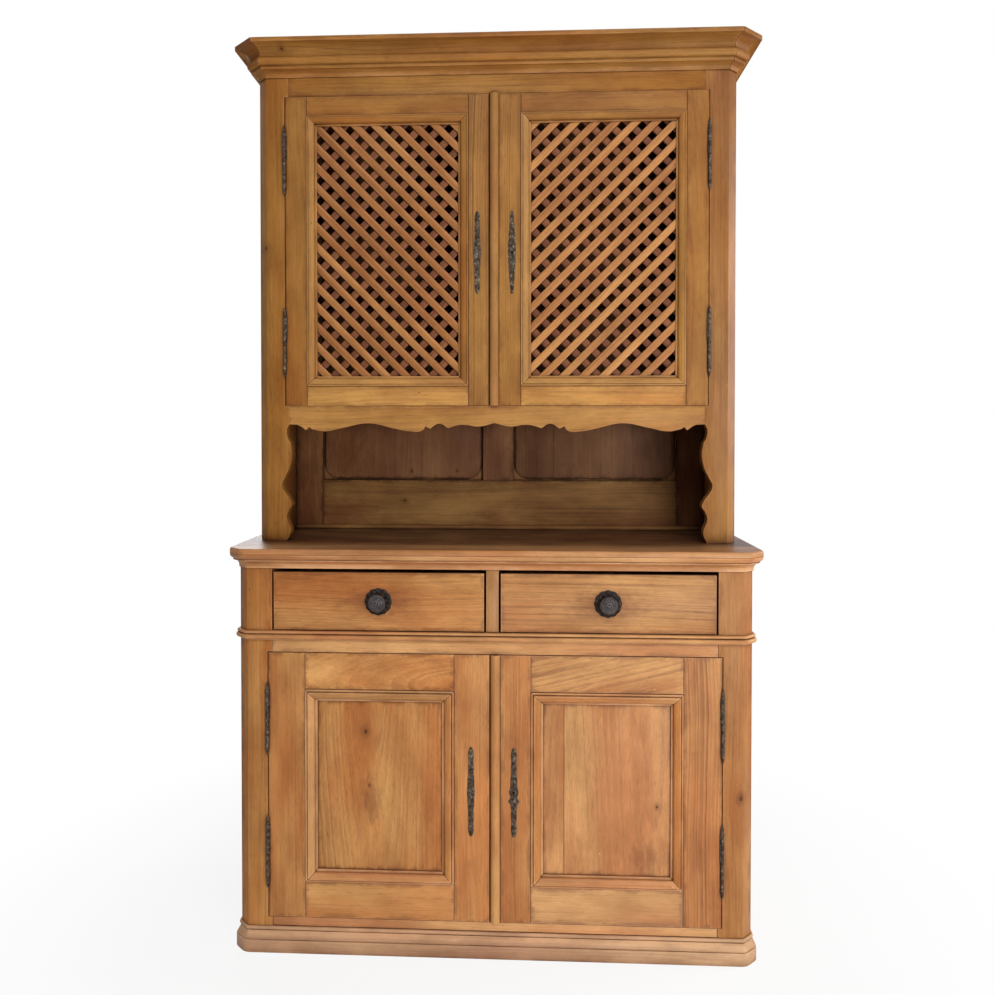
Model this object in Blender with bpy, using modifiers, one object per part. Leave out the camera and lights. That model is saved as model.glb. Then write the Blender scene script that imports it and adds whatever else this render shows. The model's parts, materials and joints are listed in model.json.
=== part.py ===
"""Two-part waxed-pine kitchen dresser: a base with two drawers and two panelled doors, and a
set-back upper cabinet with two lattice doors over an open niche.

Metres, +Z up. The front faces -Y. The origin is on the floor, in the middle of the overall box.
"""
from dataclasses import dataclass
from math import cos, pi, radians, sin, tan

import bmesh
import bpy
from mathutils import Matrix, Vector

# Clearances
SEAT_GAP = 0.0003
DOOR_GAP = 0.0020
MEETING_GAP = 0.0020
DRAWER_SIDE_GAP = 0.0050
DRAWER_BOTTOM_GAP = 0.0020
DRAWER_TOP_GAP = 0.0090
DRAWER_RUN_GAP = 0.0005
PIN_CLEARANCE = 0.0005

# Base carcass
BASE_HALF_WIDTH = 0.620
BASE_DEPTH = 0.450
BASE_CANT = 0.024
BASE_POST_WIDTH = 0.0845
BASE_POST_DEPTH = 0.045
BASE_SIDE_THICKNESS = 0.022
BASE_BACK_THICKNESS = 0.012
PLINTH_HEIGHT = 0.0595
PLINTH_REACH = 0.014
PLINTH_BOARD_HEIGHT = 0.030
MOULDING_FILLET = 0.003
FLOOR_BOARD_THICKNESS = 0.022
FLOOR_BOARD_ABOVE_PLINTH = 0.0225
WAIST_RAIL_HEIGHT = 0.053
WAIST_RAIL_THICKNESS = 0.028
WAIST_MOULDING_HEIGHT = 0.0225
WAIST_MOULDING_REACH = 0.012
RUNNER_BOARD_THICKNESS = 0.020
DIVIDER_WIDTH = 0.0302
CAVETTO_HEIGHT = 0.022
CAVETTO_REACH = 0.018
WORKTOP_THICKNESS = 0.027
WORKTOP_OVERHANG = 0.0255

# Drawers
DRAWER_HEIGHT = 0.140
DRAWER_FRONT_THICKNESS = 0.020
DRAWER_PROUD = 0.001
DRAWER_BACK_CLEARANCE = 0.0387
DRAWER_BOX_HEIGHT = 0.112
DRAWER_BOX_WALL = 0.010
DRAWER_BOX_INSET = 0.006
ROSETTE_RADIUS = 0.033
ROSETTE_PETAL_DEPTH = 0.0022
ROSETTE_PETALS = 12
ROSETTE_THICKNESS = 0.003
KNOB_RADIUS = 0.0215
KNOB_NECK_RADIUS = 0.0085
KNOB_LENGTH = 0.032
KNOB_BALL_DEPTH = 0.018
KNOB_FOOT_RADIUS = 0.0125
KNOB_FOOT_DEPTH = 0.004

# Upper cabinet
UPPER_SIDE_SETBACK = 0.012
UPPER_SETBACK = 0.141
UPPER_CANT = 0.0225
UPPER_POST_WIDTH = 0.079
UPPER_POST_DEPTH = 0.032
UPPER_SIDE_THICKNESS = 0.024
NICHE_HEIGHT = 0.3465
SCROLL_DEPTH = 0.0195
APRON_THICKNESS = 0.022
APRON_HEIGHT = 0.0647
UPPER_FLOOR_THICKNESS = 0.020
SHELF_THICKNESS = 0.018
LOWER_SHELF_RISE = 0.2855
UPPER_SHELF_RISE = 0.5215
FRIEZE_HEIGHT = 0.048
FRIEZE_THICKNESS = 0.024
CORNICE_HEIGHT = 0.082
CORNICE_REACH = 0.058
CORNICE_COVE_HEIGHT = 0.0165
CORNICE_BAND_HEIGHT = 0.009
CORNICE_BAND_REACH = 0.020
CORNICE_TORUS_HEIGHT = 0.021
CORNICE_TORUS_REACH = 0.030
CORNICE_CROWN_HEIGHT = 0.011
TOP_BOARD_THICKNESS = 0.018
BACK_FRAME_THICKNESS = 0.012
BACK_PANEL_THICKNESS = 0.010
BACK_STILE_WIDTH = 0.078
BACK_MUNTIN_WIDTH = 0.087
BACK_BOTTOM_RAIL_HEIGHT = 0.1395
BACK_TOP_RAIL_HEIGHT = 0.110

# Doors
DOOR_PROUD = 0.002
DOOR_EDGE_ROUND = 0.0065
BEAD_WIDTH = 0.022
BEAD_REACH = 0.005
MOULDING_LIP_WIDTH = 0.0055
MOULDING_LIP_PROUD = 0.0025
MOULDING_QUIRK = 0.0010
MOULDING_OVOLO_DROP = 0.0035
MOULDING_TOE_WIDTH = 0.0055
MOULDING_TOE_DROP = 0.0052
LOWER_DOOR_HEIGHT = 0.6435
LOWER_DOOR_THICKNESS = 0.024
LOWER_DOOR_REBATE = 0.0112
LOWER_MEETING_X = -0.0055
LOWER_OPENING_FROM_MIDDLE = 0.0922
LOWER_HINGE_STILE = 0.0902
LOWER_TOP_RAIL = 0.087
LOWER_BOTTOM_RAIL = 0.086
LOWER_MOULDING_WIDTH = 0.029
LOWER_MOULDING_PROUD = 0.0055
LOWER_PANEL_DEPTH = 0.010
LOWER_PANEL_THICKNESS = 0.012
UPPER_DOOR_HEIGHT = 0.7855
UPPER_DOOR_THICKNESS = 0.022
UPPER_DOOR_REBATE = 0.0098
UPPER_MEETING_X = -0.0135
UPPER_OPENING_FROM_MIDDLE = 0.0664
UPPER_HINGE_STILE = 0.0553
UPPER_TOP_RAIL = 0.0465
UPPER_BOTTOM_RAIL = 0.0485
UPPER_MOULDING_WIDTH = 0.0255
UPPER_MOULDING_PROUD = 0.0045

# Lattice
LATTICE_DEPTH = 0.008
LATTICE_RING_WIDTH = 0.0225
SLAT_WIDTH = 0.0188
SLAT_THICKNESS = 0.0058
SLAT_PITCH = 0.0360
FRONT_SLAT_SHIFT = -0.0120
REAR_SLAT_SHIFT = -0.0165
SLAT_LAYER_GAP = 0.0006
SLAT_ANCHOR = 0.010

# Hinges
HINGE_RADIUS = 0.0060
HINGE_PIN_RADIUS = 0.0034
HINGE_PIN_LENGTH = 0.060
HINGE_KNUCKLE_LENGTH = 0.074
HINGE_FINIAL_LENGTH = 0.016
HINGE_FROM_DOOR_END = 0.160
HINGE_LEAF_HEIGHT = 0.060
HINGE_LEAF_THICKNESS = 0.0029
HINGE_LEAF_CLEARANCE = 0.0004
HINGE_LEAF_LAP = 0.005

# Locks and escutcheons
ESCUTCHEON_THICKNESS = 0.0025
ESCUTCHEON_HALF_WIDTH = 0.0095
LOWER_ESCUTCHEON_LENGTH = 0.216
LOWER_ESCUTCHEON_FROM_MIDDLE = 0.0515
LOWER_ESCUTCHEON_RISE = 0.3145
UPPER_ESCUTCHEON_LENGTH = 0.208
UPPER_ESCUTCHEON_FROM_MIDDLE = 0.0440
UPPER_ESCUTCHEON_RISE = 0.3865
KEYHOLE_RADIUS = 0.0030
KEYHOLE_SLOT_WIDTH = 0.0026
KEYHOLE_SLOT_LENGTH = 0.0085
LOCK_WIDTH = 0.062
LOCK_HEIGHT = 0.095
LOCK_THICKNESS = 0.013
LOCK_BOLT_LENGTH = 0.004
LOCK_BOLT_HEIGHT = 0.018

# Smoothness of round shapes
ARC_STEPS = 6
TURN_STEPS = 12
KNOB_STEPS = 20
KNOB_ARC_STEPS = 7
ROSETTE_STEPS_PER_PETAL = 6
BEZIER_STEPS = 6
MERGE_DISTANCE = 0.00001
FLAT_ANGLE = radians(0.05)
PIVOT_DISPLAY_SIZE = 0.05

# Reference planes
KNOB_REACH = DRAWER_PROUD + SEAT_GAP + ROSETTE_THICKNESS + SEAT_GAP + KNOB_LENGTH
BASE_FRONT_Y = -(BASE_DEPTH - KNOB_REACH) / 2
BACK_Y = BASE_FRONT_Y + BASE_DEPTH
UPPER_FRONT_Y = BASE_FRONT_Y + UPPER_SETBACK
UPPER_HALF_WIDTH = BASE_HALF_WIDTH - UPPER_SIDE_SETBACK
BASE_POST_INNER_X = BASE_HALF_WIDTH - BASE_POST_WIDTH
UPPER_POST_INNER_X = UPPER_HALF_WIDTH - UPPER_POST_WIDTH
LOWER_REBATE_X = BASE_POST_INNER_X + LOWER_DOOR_REBATE
UPPER_REBATE_X = UPPER_POST_INNER_X + UPPER_DOOR_REBATE
BASE_INSIDE_X = BASE_HALF_WIDTH - BASE_SIDE_THICKNESS
UPPER_INSIDE_X = UPPER_HALF_WIDTH - UPPER_SIDE_THICKNESS
BASE_BACK_FACE_Y = BACK_Y - BASE_BACK_THICKNESS
BACK_FRAME_FACE_Y = BACK_Y - BACK_PANEL_THICKNESS - SEAT_GAP - BACK_FRAME_THICKNESS

# Heights, counted up from the floor
FLOOR_TOP_Z = PLINTH_HEIGHT + FLOOR_BOARD_ABOVE_PLINTH
LOWER_DOOR_Z = FLOOR_TOP_Z + DOOR_GAP
WAIST_RAIL_Z = LOWER_DOOR_Z + LOWER_DOOR_HEIGHT + DOOR_GAP
DRAWER_DECK_Z = WAIST_RAIL_Z + WAIST_RAIL_HEIGHT
DRAWER_Z = DRAWER_DECK_Z + DRAWER_BOTTOM_GAP
CAVETTO_Z = DRAWER_Z + DRAWER_HEIGHT + DRAWER_TOP_GAP
WORKTOP_UNDERSIDE_Z = CAVETTO_Z + CAVETTO_HEIGHT
WORKTOP_TOP_Z = WORKTOP_UNDERSIDE_Z + WORKTOP_THICKNESS
NICHE_TOP_Z = WORKTOP_TOP_Z + NICHE_HEIGHT
UPPER_DOOR_Z = NICHE_TOP_Z + DOOR_GAP
FRIEZE_Z = UPPER_DOOR_Z + UPPER_DOOR_HEIGHT + DOOR_GAP
CORNICE_Z = FRIEZE_Z + FRIEZE_HEIGHT
TOP_Z = CORNICE_Z + CORNICE_HEIGHT
TOP_BOARD_Z = TOP_Z - TOP_BOARD_THICKNESS

SIDES = {"left": -1, "right": 1}

# Colour, roughness and metallic value of each finish
FINISHES = {
    "pine": ((0.42, 0.19, 0.055, 1.0), 0.45, 0.0),
    "pine_inside": ((0.20, 0.10, 0.040, 1.0), 0.60, 0.0),
    "pine_lattice": ((0.36, 0.16, 0.055, 1.0), 0.50, 0.0),
    "iron": ((0.060, 0.050, 0.045, 1.0), 0.45, 1.0),
}


def make_collection(name):
    collection = bpy.data.collections.new(name)
    bpy.context.scene.collection.children.link(collection)
    return collection


def make_material(name, finish):
    colour, roughness, metallic = FINISHES[finish]
    material = bpy.data.materials.new(name)
    material.use_nodes = True
    shader = material.node_tree.nodes["Principled BSDF"]
    shader.inputs["Base Color"].default_value = colour
    shader.inputs["Roughness"].default_value = roughness
    shader.inputs["Metallic"].default_value = metallic
    return material


def make_object(name, mesh, location, parent=None):
    obj = bpy.data.objects.new(name, mesh)
    obj.location = Vector(location)
    if parent is not None:
        obj.parent = parent
        obj.location -= parent.location
    return obj


def add_part(name, mesh, finish, location=(0, 0, 0), parent=None):
    """A named sub-part with its own material, whose place is given in world coordinates."""
    obj = make_object(name, mesh, location, parent)
    mesh.materials.append(make_material(name + "_finish", finish))
    PARTS.objects.link(obj)
    return obj


def add_cutter(name, mesh, location=(0, 0, 0), parent=None):
    """A helper solid that another piece is cut by or joined to."""
    obj = make_object(name, mesh, location, parent)
    obj.hide_render = True
    obj.display_type = "WIRE"
    CUTTERS.objects.link(obj)
    return obj


def add_pivot(name, location):
    """An empty on a joint's axis, which carries the pieces that move with that joint."""
    pivot = bpy.data.objects.new(name, None)
    pivot.location = location
    pivot.empty_display_size = PIVOT_DISPLAY_SIZE
    PARTS.objects.link(pivot)
    return pivot


def add_boolean(obj, operand, operation):
    modifier = obj.modifiers.new(operation.lower() + "_" + operand.name, "BOOLEAN")
    modifier.operation = operation
    modifier.solver = "EXACT"
    modifier.object = operand


def finish_mesh(bm, name):
    bmesh.ops.recalc_face_normals(bm, faces=bm.faces)
    mesh = bpy.data.meshes.new(name)
    bm.to_mesh(mesh)
    bm.free()
    return mesh


def box_mesh(name, size):
    bm = bmesh.new()
    bmesh.ops.create_cube(bm, size=1.0)
    bmesh.ops.scale(bm, vec=Vector(size), verts=bm.verts)
    return finish_mesh(bm, name)


def add_box(name, low, high, finish, parent=None):
    low, high = Vector(low), Vector(high)
    return add_part(name, box_mesh(name, high - low), finish, (low + high) / 2, parent)


def add_box_cutter(name, low, high, parent=None):
    low, high = Vector(low), Vector(high)
    return add_cutter(name, box_mesh(name, high - low), (low + high) / 2, parent)


def poly_spline(curve, points):
    spline = curve.splines.new("POLY")
    spline.points.add(len(points) - 1)
    for point, (x, y) in zip(spline.points, points):
        point.co = (x, y, 0, 1)
    spline.use_cyclic_u = True


def bezier_spline(curve, points):
    """A closed outline through (x, y, sharp) points, smooth except at the sharp ones."""
    spline = curve.splines.new("BEZIER")
    spline.bezier_points.add(len(points) - 1)
    spline.resolution_u = BEZIER_STEPS
    for point, (x, y, sharp) in zip(spline.bezier_points, points):
        point.co = (x, y, 0)
        point.handle_left_type = "VECTOR" if sharp else "AUTO"
        point.handle_right_type = "VECTOR" if sharp else "AUTO"
    spline.use_cyclic_u = True


def outline_mesh(name, loops, thickness, draw_spline=poly_spline):
    """A flat plate filled between closed loops, centred on its own plane."""
    curve = bpy.data.curves.new(name, "CURVE")
    curve.dimensions = "2D"
    curve.fill_mode = "BOTH"
    curve.extrude = thickness / 2
    for loop in loops:
        draw_spline(curve, loop)
    source = bpy.data.objects.new(name + "_curve", curve)
    bpy.context.scene.collection.objects.link(source)
    depsgraph = bpy.context.evaluated_depsgraph_get()
    mesh = bpy.data.meshes.new_from_object(source.evaluated_get(depsgraph))
    bpy.data.objects.remove(source)
    bm = bmesh.new()
    bm.from_mesh(mesh)
    bpy.data.meshes.remove(mesh)
    bmesh.ops.remove_doubles(bm, verts=bm.verts, dist=MERGE_DISTANCE)
    bmesh.ops.dissolve_limit(bm, angle_limit=FLAT_ANGLE, verts=bm.verts, edges=bm.edges)
    return finish_mesh(bm, name)


def stand_up(mesh):
    """Turn a plate drawn in XY so that its outline stands in XZ, seen from the front."""
    mesh.transform(Matrix.Rotation(pi / 2, 4, "X"))
    return mesh


def add_upright_plate(name, loops, front_y, thickness, finish, parent=None, draw_spline=poly_spline):
    mesh = stand_up(outline_mesh(name, loops, thickness, draw_spline))
    return add_part(name, mesh, finish, (0, front_y + thickness / 2, 0), parent)


def add_slab(name, plan, low_z, high_z, finish):
    mesh = outline_mesh(name, [plan], high_z - low_z)
    return add_part(name, mesh, finish, (0, 0, (low_z + high_z) / 2))


def rectangle(low_x, low_y, high_x, high_y):
    return [(low_x, low_y), (high_x, low_y), (high_x, high_y), (low_x, high_y)]


def arc(centre_x, centre_y, radius_x, radius_y, start, end, steps=ARC_STEPS):
    """Points on an arc between two angles in degrees, ends included."""
    turns = [radians(start + (end - start) * step / steps) for step in range(steps + 1)]
    return [(centre_x + radius_x * cos(turn), centre_y + radius_y * sin(turn)) for turn in turns]


def loft_mesh(name, loops, closed):
    """Skin a row of like loops, joined end to end or capped at both ends."""
    bm = bmesh.new()
    rows = [[bm.verts.new(point) for point in loop] for loop in loops]
    count = len(rows[0])
    pairs = list(zip(rows, rows[1:]))
    if closed:
        pairs.append((rows[-1], rows[0]))
    for near, far in pairs:
        for index in range(count):
            after = (index + 1) % count
            bm.faces.new((near[index], near[after], far[after], far[index]))
    if not closed:
        bm.faces.new(rows[0])
        bm.faces.new(rows[-1])
    return finish_mesh(bm, name)


def profile_mesh(name, profile):
    """A profile of (radius, height) points, listed top to bottom, ready to be turned about Z."""
    mesh = bpy.data.meshes.new(name)
    points = [(radius, 0, height) for radius, height in profile]
    edges = [(index, index + 1) for index in range(len(points) - 1)]
    mesh.from_pydata(points, edges, [])
    return mesh


def turn(obj, steps):
    modifier = obj.modifiers.new("turned", "SCREW")
    modifier.axis = "Z"
    modifier.steps = steps
    modifier.render_steps = steps
    modifier.use_merge_vertices = True
    modifier.merge_threshold = MERGE_DISTANCE
    modifier.use_smooth_shade = True


def canted_plan(half_width, front_y, back_y, cant, reach):
    """The plan of a carcass with canted front corners, moved outwards by reach, open at the back."""
    mitre = reach * tan(pi / 8)
    right = [
        (half_width - cant + mitre, front_y - reach),
        (half_width + reach, front_y + cant - mitre),
        (half_width + reach, back_y),
    ]
    left = [(-x, y) for x, y in reversed(right)]
    return left + right


def add_wrapped_moulding(name, profile, base_z, half_width, front_y, cant):
    """A mitred moulding round the front, the cants and the sides, from (reach, height) points."""
    plans = [canted_plan(half_width, front_y, BACK_Y, cant, reach) for reach, _ in profile]
    loops = []
    for station in range(len(plans[0])):
        loops.append([(*plan[station], height) for plan, (_, height) in zip(plans, profile)])
    return add_part(name, loft_mesh(name, loops, closed=False), "pine", (0, 0, base_z))


def bevel_front_corner(mesh, side, offset, segments=1):
    """Cant or round the front upright edge of a piece whose outer face looks to the given side."""
    bm = bmesh.new()
    bm.from_mesh(mesh)
    outer_x = max(vert.co.x * side for vert in bm.verts)
    front_y = min(vert.co.y for vert in bm.verts)

    def on_corner(vert):
        outermost = outer_x - vert.co.x * side < MERGE_DISTANCE
        return outermost and vert.co.y - front_y < MERGE_DISTANCE

    corner = [edge for edge in bm.edges if all(on_corner(vert) for vert in edge.verts)]
    bmesh.ops.bevel(
        bm, geom=corner, offset=offset, offset_type="OFFSET", segments=segments, profile=0.5, affect="EDGES"
    )
    bm.to_mesh(mesh)
    bm.free()
    return mesh


def tongued_plan(front_half, back_half, front_y, step_y, back_y):
    """A board that is narrower between the posts and full width behind them."""
    right = [(front_half, front_y), (front_half, step_y), (back_half, step_y), (back_half, back_y)]
    left = [(-x, y) for x, y in reversed(right)]
    return left + right


def base_post_outline(top_z):
    """The right-hand post seen from the front, cut back beside the door."""
    outer = [(BASE_HALF_WIDTH, 0), (BASE_HALF_WIDTH, top_z)]
    rebate = [(LOWER_REBATE_X, WAIST_RAIL_Z), (LOWER_REBATE_X, FLOOR_TOP_Z)]
    above = [(BASE_POST_INNER_X, top_z), (BASE_POST_INNER_X, WAIST_RAIL_Z)]
    below = [(BASE_POST_INNER_X, FLOOR_TOP_Z), (BASE_POST_INNER_X, 0)]
    return outer + above + rebate + below


def build_base_carcass():
    top_z = WORKTOP_UNDERSIDE_Z - SEAT_GAP
    outline = base_post_outline(top_z)
    behind_posts_y = BASE_FRONT_Y + BASE_POST_DEPTH + SEAT_GAP
    for side_name, side in SIDES.items():
        loop = outline if side > 0 else mirrored_x(outline)
        post = add_upright_plate(f"base_{side_name}_post", [loop], BASE_FRONT_Y, BASE_POST_DEPTH, "pine")
        bevel_front_corner(post.data, side, BASE_CANT)
        inner_x, outer_x = sorted((side * BASE_INSIDE_X, side * BASE_HALF_WIDTH))
        add_box(f"base_{side_name}_side", (inner_x, behind_posts_y, 0), (outer_x, BACK_Y, top_z), "pine")

    inside_x = BASE_INSIDE_X - SEAT_GAP
    between_posts_x = BASE_POST_INNER_X - SEAT_GAP
    board_back_y = BASE_BACK_FACE_Y - SEAT_GAP
    add_box("base_back_panel", (-inside_x, BASE_BACK_FACE_Y, 0), (inside_x, BACK_Y, top_z), "pine_inside")
    floor_plan = tongued_plan(between_posts_x, inside_x, BASE_FRONT_Y, behind_posts_y, board_back_y)
    add_slab("base_floor_board", floor_plan, FLOOR_TOP_Z - FLOOR_BOARD_THICKNESS, FLOOR_TOP_Z, "pine")

    rail_back_y = BASE_FRONT_Y + WAIST_RAIL_THICKNESS
    rail_low = (-between_posts_x, BASE_FRONT_Y, WAIST_RAIL_Z)
    add_box("base_waist_rail", rail_low, (between_posts_x, rail_back_y, DRAWER_DECK_Z), "pine")
    runner_front_y = rail_back_y + SEAT_GAP
    runner_plan = tongued_plan(between_posts_x, inside_x, runner_front_y, behind_posts_y, board_back_y)
    runner_z = DRAWER_DECK_Z - RUNNER_BOARD_THICKNESS
    add_slab("drawer_runner_board", runner_plan, runner_z, DRAWER_DECK_Z, "pine_inside")
    divider_low = (-DIVIDER_WIDTH / 2, BASE_FRONT_Y, DRAWER_DECK_Z + SEAT_GAP)
    add_box("drawer_divider", divider_low, (DIVIDER_WIDTH / 2, board_back_y, top_z), "pine")


def plinth_profile():
    """A flat board with a cove and a fillet along its top."""
    back, top = SEAT_GAP, PLINTH_HEIGHT
    cove_high_z = top - MOULDING_FILLET
    cove_low_z = PLINTH_BOARD_HEIGHT + MOULDING_FILLET
    cove_reach = PLINTH_REACH - MOULDING_FILLET
    profile = [(back, 0), (PLINTH_REACH, 0), (PLINTH_REACH, PLINTH_BOARD_HEIGHT)]
    profile += arc(cove_reach, cove_high_z, cove_reach - MOULDING_FILLET, cove_high_z - cove_low_z, 270, 180)
    return profile + [(MOULDING_FILLET, top), (back, top)]


def waist_profile():
    """A half-round bead between two fillets."""
    back, top = SEAT_GAP, WAIST_MOULDING_HEIGHT
    bead_radius = top / 2 - MOULDING_FILLET
    profile = [(back, 0), (MOULDING_FILLET, 0)]
    profile += arc(MOULDING_FILLET, top / 2, WAIST_MOULDING_REACH - MOULDING_FILLET, bead_radius, -90, 90)
    return profile + [(MOULDING_FILLET, top), (back, top)]


def cavetto_profile():
    """A hollow quarter round that opens out under the worktop."""
    back, top = SEAT_GAP, CAVETTO_HEIGHT - SEAT_GAP
    hollow_reach = CAVETTO_REACH - MOULDING_FILLET
    hollow_height = top - 2 * MOULDING_FILLET
    profile = [(back, 0), (MOULDING_FILLET, 0)]
    profile += arc(CAVETTO_REACH, MOULDING_FILLET, hollow_reach, hollow_height, 180, 90)
    return profile + [(CAVETTO_REACH, top), (back, top)]


def build_base_mouldings():
    mouldings = (
        ("plinth_moulding", plinth_profile(), 0),
        ("waist_moulding", waist_profile(), DRAWER_DECK_Z - WAIST_MOULDING_HEIGHT),
        ("worktop_moulding", cavetto_profile(), CAVETTO_Z),
    )
    for name, profile, base_z in mouldings:
        add_wrapped_moulding(name, profile, base_z, BASE_HALF_WIDTH, BASE_FRONT_Y, BASE_CANT)


def build_worktop():
    edge_radius = WORKTOP_THICKNESS / 2
    edge_centre = WORKTOP_OVERHANG - edge_radius
    section = arc(edge_centre, edge_radius, edge_radius, edge_radius, -90, 90, 2 * ARC_STEPS)
    loops = []
    for reach, height in section:
        plan = canted_plan(BASE_HALF_WIDTH, BASE_FRONT_Y, BACK_Y, BASE_CANT, reach)
        loops.append([(x, y, height) for x, y in plan])
    mesh = loft_mesh("worktop", loops, closed=False)
    add_part("worktop", mesh, "pine", (0, 0, WORKTOP_UNDERSIDE_Z))


def scroll_post_outline(low_z, high_z):
    """The right-hand post seen from the front: cut back beside the door, scroll-cut in the niche."""
    # Bulge as a share of the scroll's depth and height as a share of the niche, with sharp cusps marked
    scroll = [
        (0.00, 1.000, True), (0.00, 0.864, True), (-0.31, 0.827, False), (-0.15, 0.757, False),
        (0.15, 0.731, True), (0.38, 0.648, False), (0.10, 0.557, False), (-0.56, 0.474, False),
        (-1.00, 0.416, False), (-0.67, 0.364, False), (0.00, 0.313, False), (0.33, 0.262, False),
        (0.00, 0.237, True), (-0.36, 0.173, False), (0.15, 0.070, False), (-0.31, 0.000, True),
    ]
    inner = []
    for bulge, rise, sharp in scroll:
        inner.append((UPPER_POST_INNER_X - bulge * SCROLL_DEPTH, low_z + rise * NICHE_HEIGHT, sharp))
    outer = [(UPPER_HALF_WIDTH, low_z, True), (UPPER_HALF_WIDTH, high_z, True)]
    above = [(UPPER_POST_INNER_X, high_z, True), (UPPER_POST_INNER_X, FRIEZE_Z, True)]
    rebate = [(UPPER_REBATE_X, FRIEZE_Z, True), (UPPER_REBATE_X, low_z + NICHE_HEIGHT, True)]
    return outer + above + rebate + inner


def apron_outline(half_width, top_z):
    """The apron below the lattice doors, scalloped along its lower edge, mirrored about the middle."""
    # Place as a share of the half width and drop as a share of the apron's height, sharp cusps marked
    scallops = [
        (0.000, 0.672, True), (0.079, 0.810, False), (0.132, 0.750, True), (0.172, 0.751, False),
        (0.225, 0.876, True), (0.267, 0.696, False), (0.313, 0.896, True), (0.334, 0.796, True),
        (0.350, 0.966, False), (0.414, 1.000, False), (0.481, 0.896, False), (0.615, 0.680, False),
        (0.747, 0.881, False), (0.830, 1.000, False), (0.889, 0.912, True), (0.903, 0.819, True),
        (0.918, 0.949, True), (0.953, 0.762, False), (0.989, 0.726, True),
    ]
    right = [(place * half_width, top_z - drop * APRON_HEIGHT, sharp) for place, drop, sharp in scallops]
    end_z = right[-1][1]
    right += [(half_width, end_z, True), (half_width, top_z, True)]
    left = [(-x, z, sharp) for x, z, sharp in reversed(right[1:])]
    return right + left


def mirrored_x(points):
    return [(-point[0], *point[1:]) for point in reversed(points)]


def build_upper_carcass():
    low_z = WORKTOP_TOP_Z + SEAT_GAP
    high_z = TOP_BOARD_Z - SEAT_GAP
    behind_posts_y = UPPER_FRONT_Y + UPPER_POST_DEPTH + SEAT_GAP
    outline = scroll_post_outline(low_z, high_z)
    for side_name, side in SIDES.items():
        loop = outline if side > 0 else mirrored_x(outline)
        name = f"upper_{side_name}_post"
        post = add_upright_plate(
            name, [loop], UPPER_FRONT_Y, UPPER_POST_DEPTH, "pine", draw_spline=bezier_spline
        )
        bevel_front_corner(post.data, side, UPPER_CANT)
        inner_x, outer_x = sorted((side * UPPER_INSIDE_X, side * UPPER_HALF_WIDTH))
        side_low = (inner_x, behind_posts_y, low_z)
        add_box(f"upper_{side_name}_side", side_low, (outer_x, BACK_Y, high_z), "pine")

    between_posts_x = UPPER_POST_INNER_X - SEAT_GAP
    frieze_high = (between_posts_x, UPPER_FRONT_Y + FRIEZE_THICKNESS, high_z)
    add_box("frieze_rail", (-between_posts_x, UPPER_FRONT_Y, FRIEZE_Z), frieze_high, "pine")
    apron_loop = apron_outline(between_posts_x, NICHE_TOP_Z)
    add_upright_plate(
        "scalloped_apron", [apron_loop], UPPER_FRONT_Y, APRON_THICKNESS, "pine", draw_spline=bezier_spline
    )

    inside_x = UPPER_INSIDE_X - SEAT_GAP
    board_back_y = BACK_FRAME_FACE_Y - SEAT_GAP
    apron_back_y = UPPER_FRONT_Y + APRON_THICKNESS + SEAT_GAP
    floor_plan = tongued_plan(between_posts_x, inside_x, apron_back_y, behind_posts_y, board_back_y)
    add_slab("upper_floor_board", floor_plan, NICHE_TOP_Z - UPPER_FLOOR_THICKNESS, NICHE_TOP_Z, "pine_inside")
    for shelf_name, rise in (("lower", LOWER_SHELF_RISE), ("upper", UPPER_SHELF_RISE)):
        shelf_z = NICHE_TOP_Z + rise
        shelf_high = (inside_x, board_back_y, shelf_z + SHELF_THICKNESS)
        add_box(f"upper_shelf_{shelf_name}", (-inside_x, behind_posts_y, shelf_z), shelf_high, "pine_inside")
    top_plan = canted_plan(UPPER_HALF_WIDTH, UPPER_FRONT_Y, BACK_Y, UPPER_CANT, 0)
    add_slab("upper_top_board", top_plan, TOP_BOARD_Z, TOP_Z, "pine")


def build_upper_back():
    low_z = WORKTOP_TOP_Z + SEAT_GAP
    high_z = TOP_BOARD_Z - SEAT_GAP
    inside_x = UPPER_INSIDE_X - SEAT_GAP
    field_low_z = low_z + BACK_BOTTOM_RAIL_HEIGHT
    field_high_z = high_z - BACK_TOP_RAIL_HEIGHT
    field_inner_x = BACK_MUNTIN_WIDTH / 2
    field_outer_x = inside_x - BACK_STILE_WIDTH
    field = rectangle(field_inner_x, field_low_z, field_outer_x, field_high_z)
    loops = [rectangle(-inside_x, low_z, inside_x, high_z), field, mirrored_x(field)]
    add_upright_plate("upper_back_frame", loops, BACK_FRAME_FACE_Y, BACK_FRAME_THICKNESS, "pine_inside")
    panel_low = (-inside_x, BACK_Y - BACK_PANEL_THICKNESS, low_z)
    add_box("upper_back_panel", panel_low, (inside_x, BACK_Y, high_z), "pine_inside")


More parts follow.
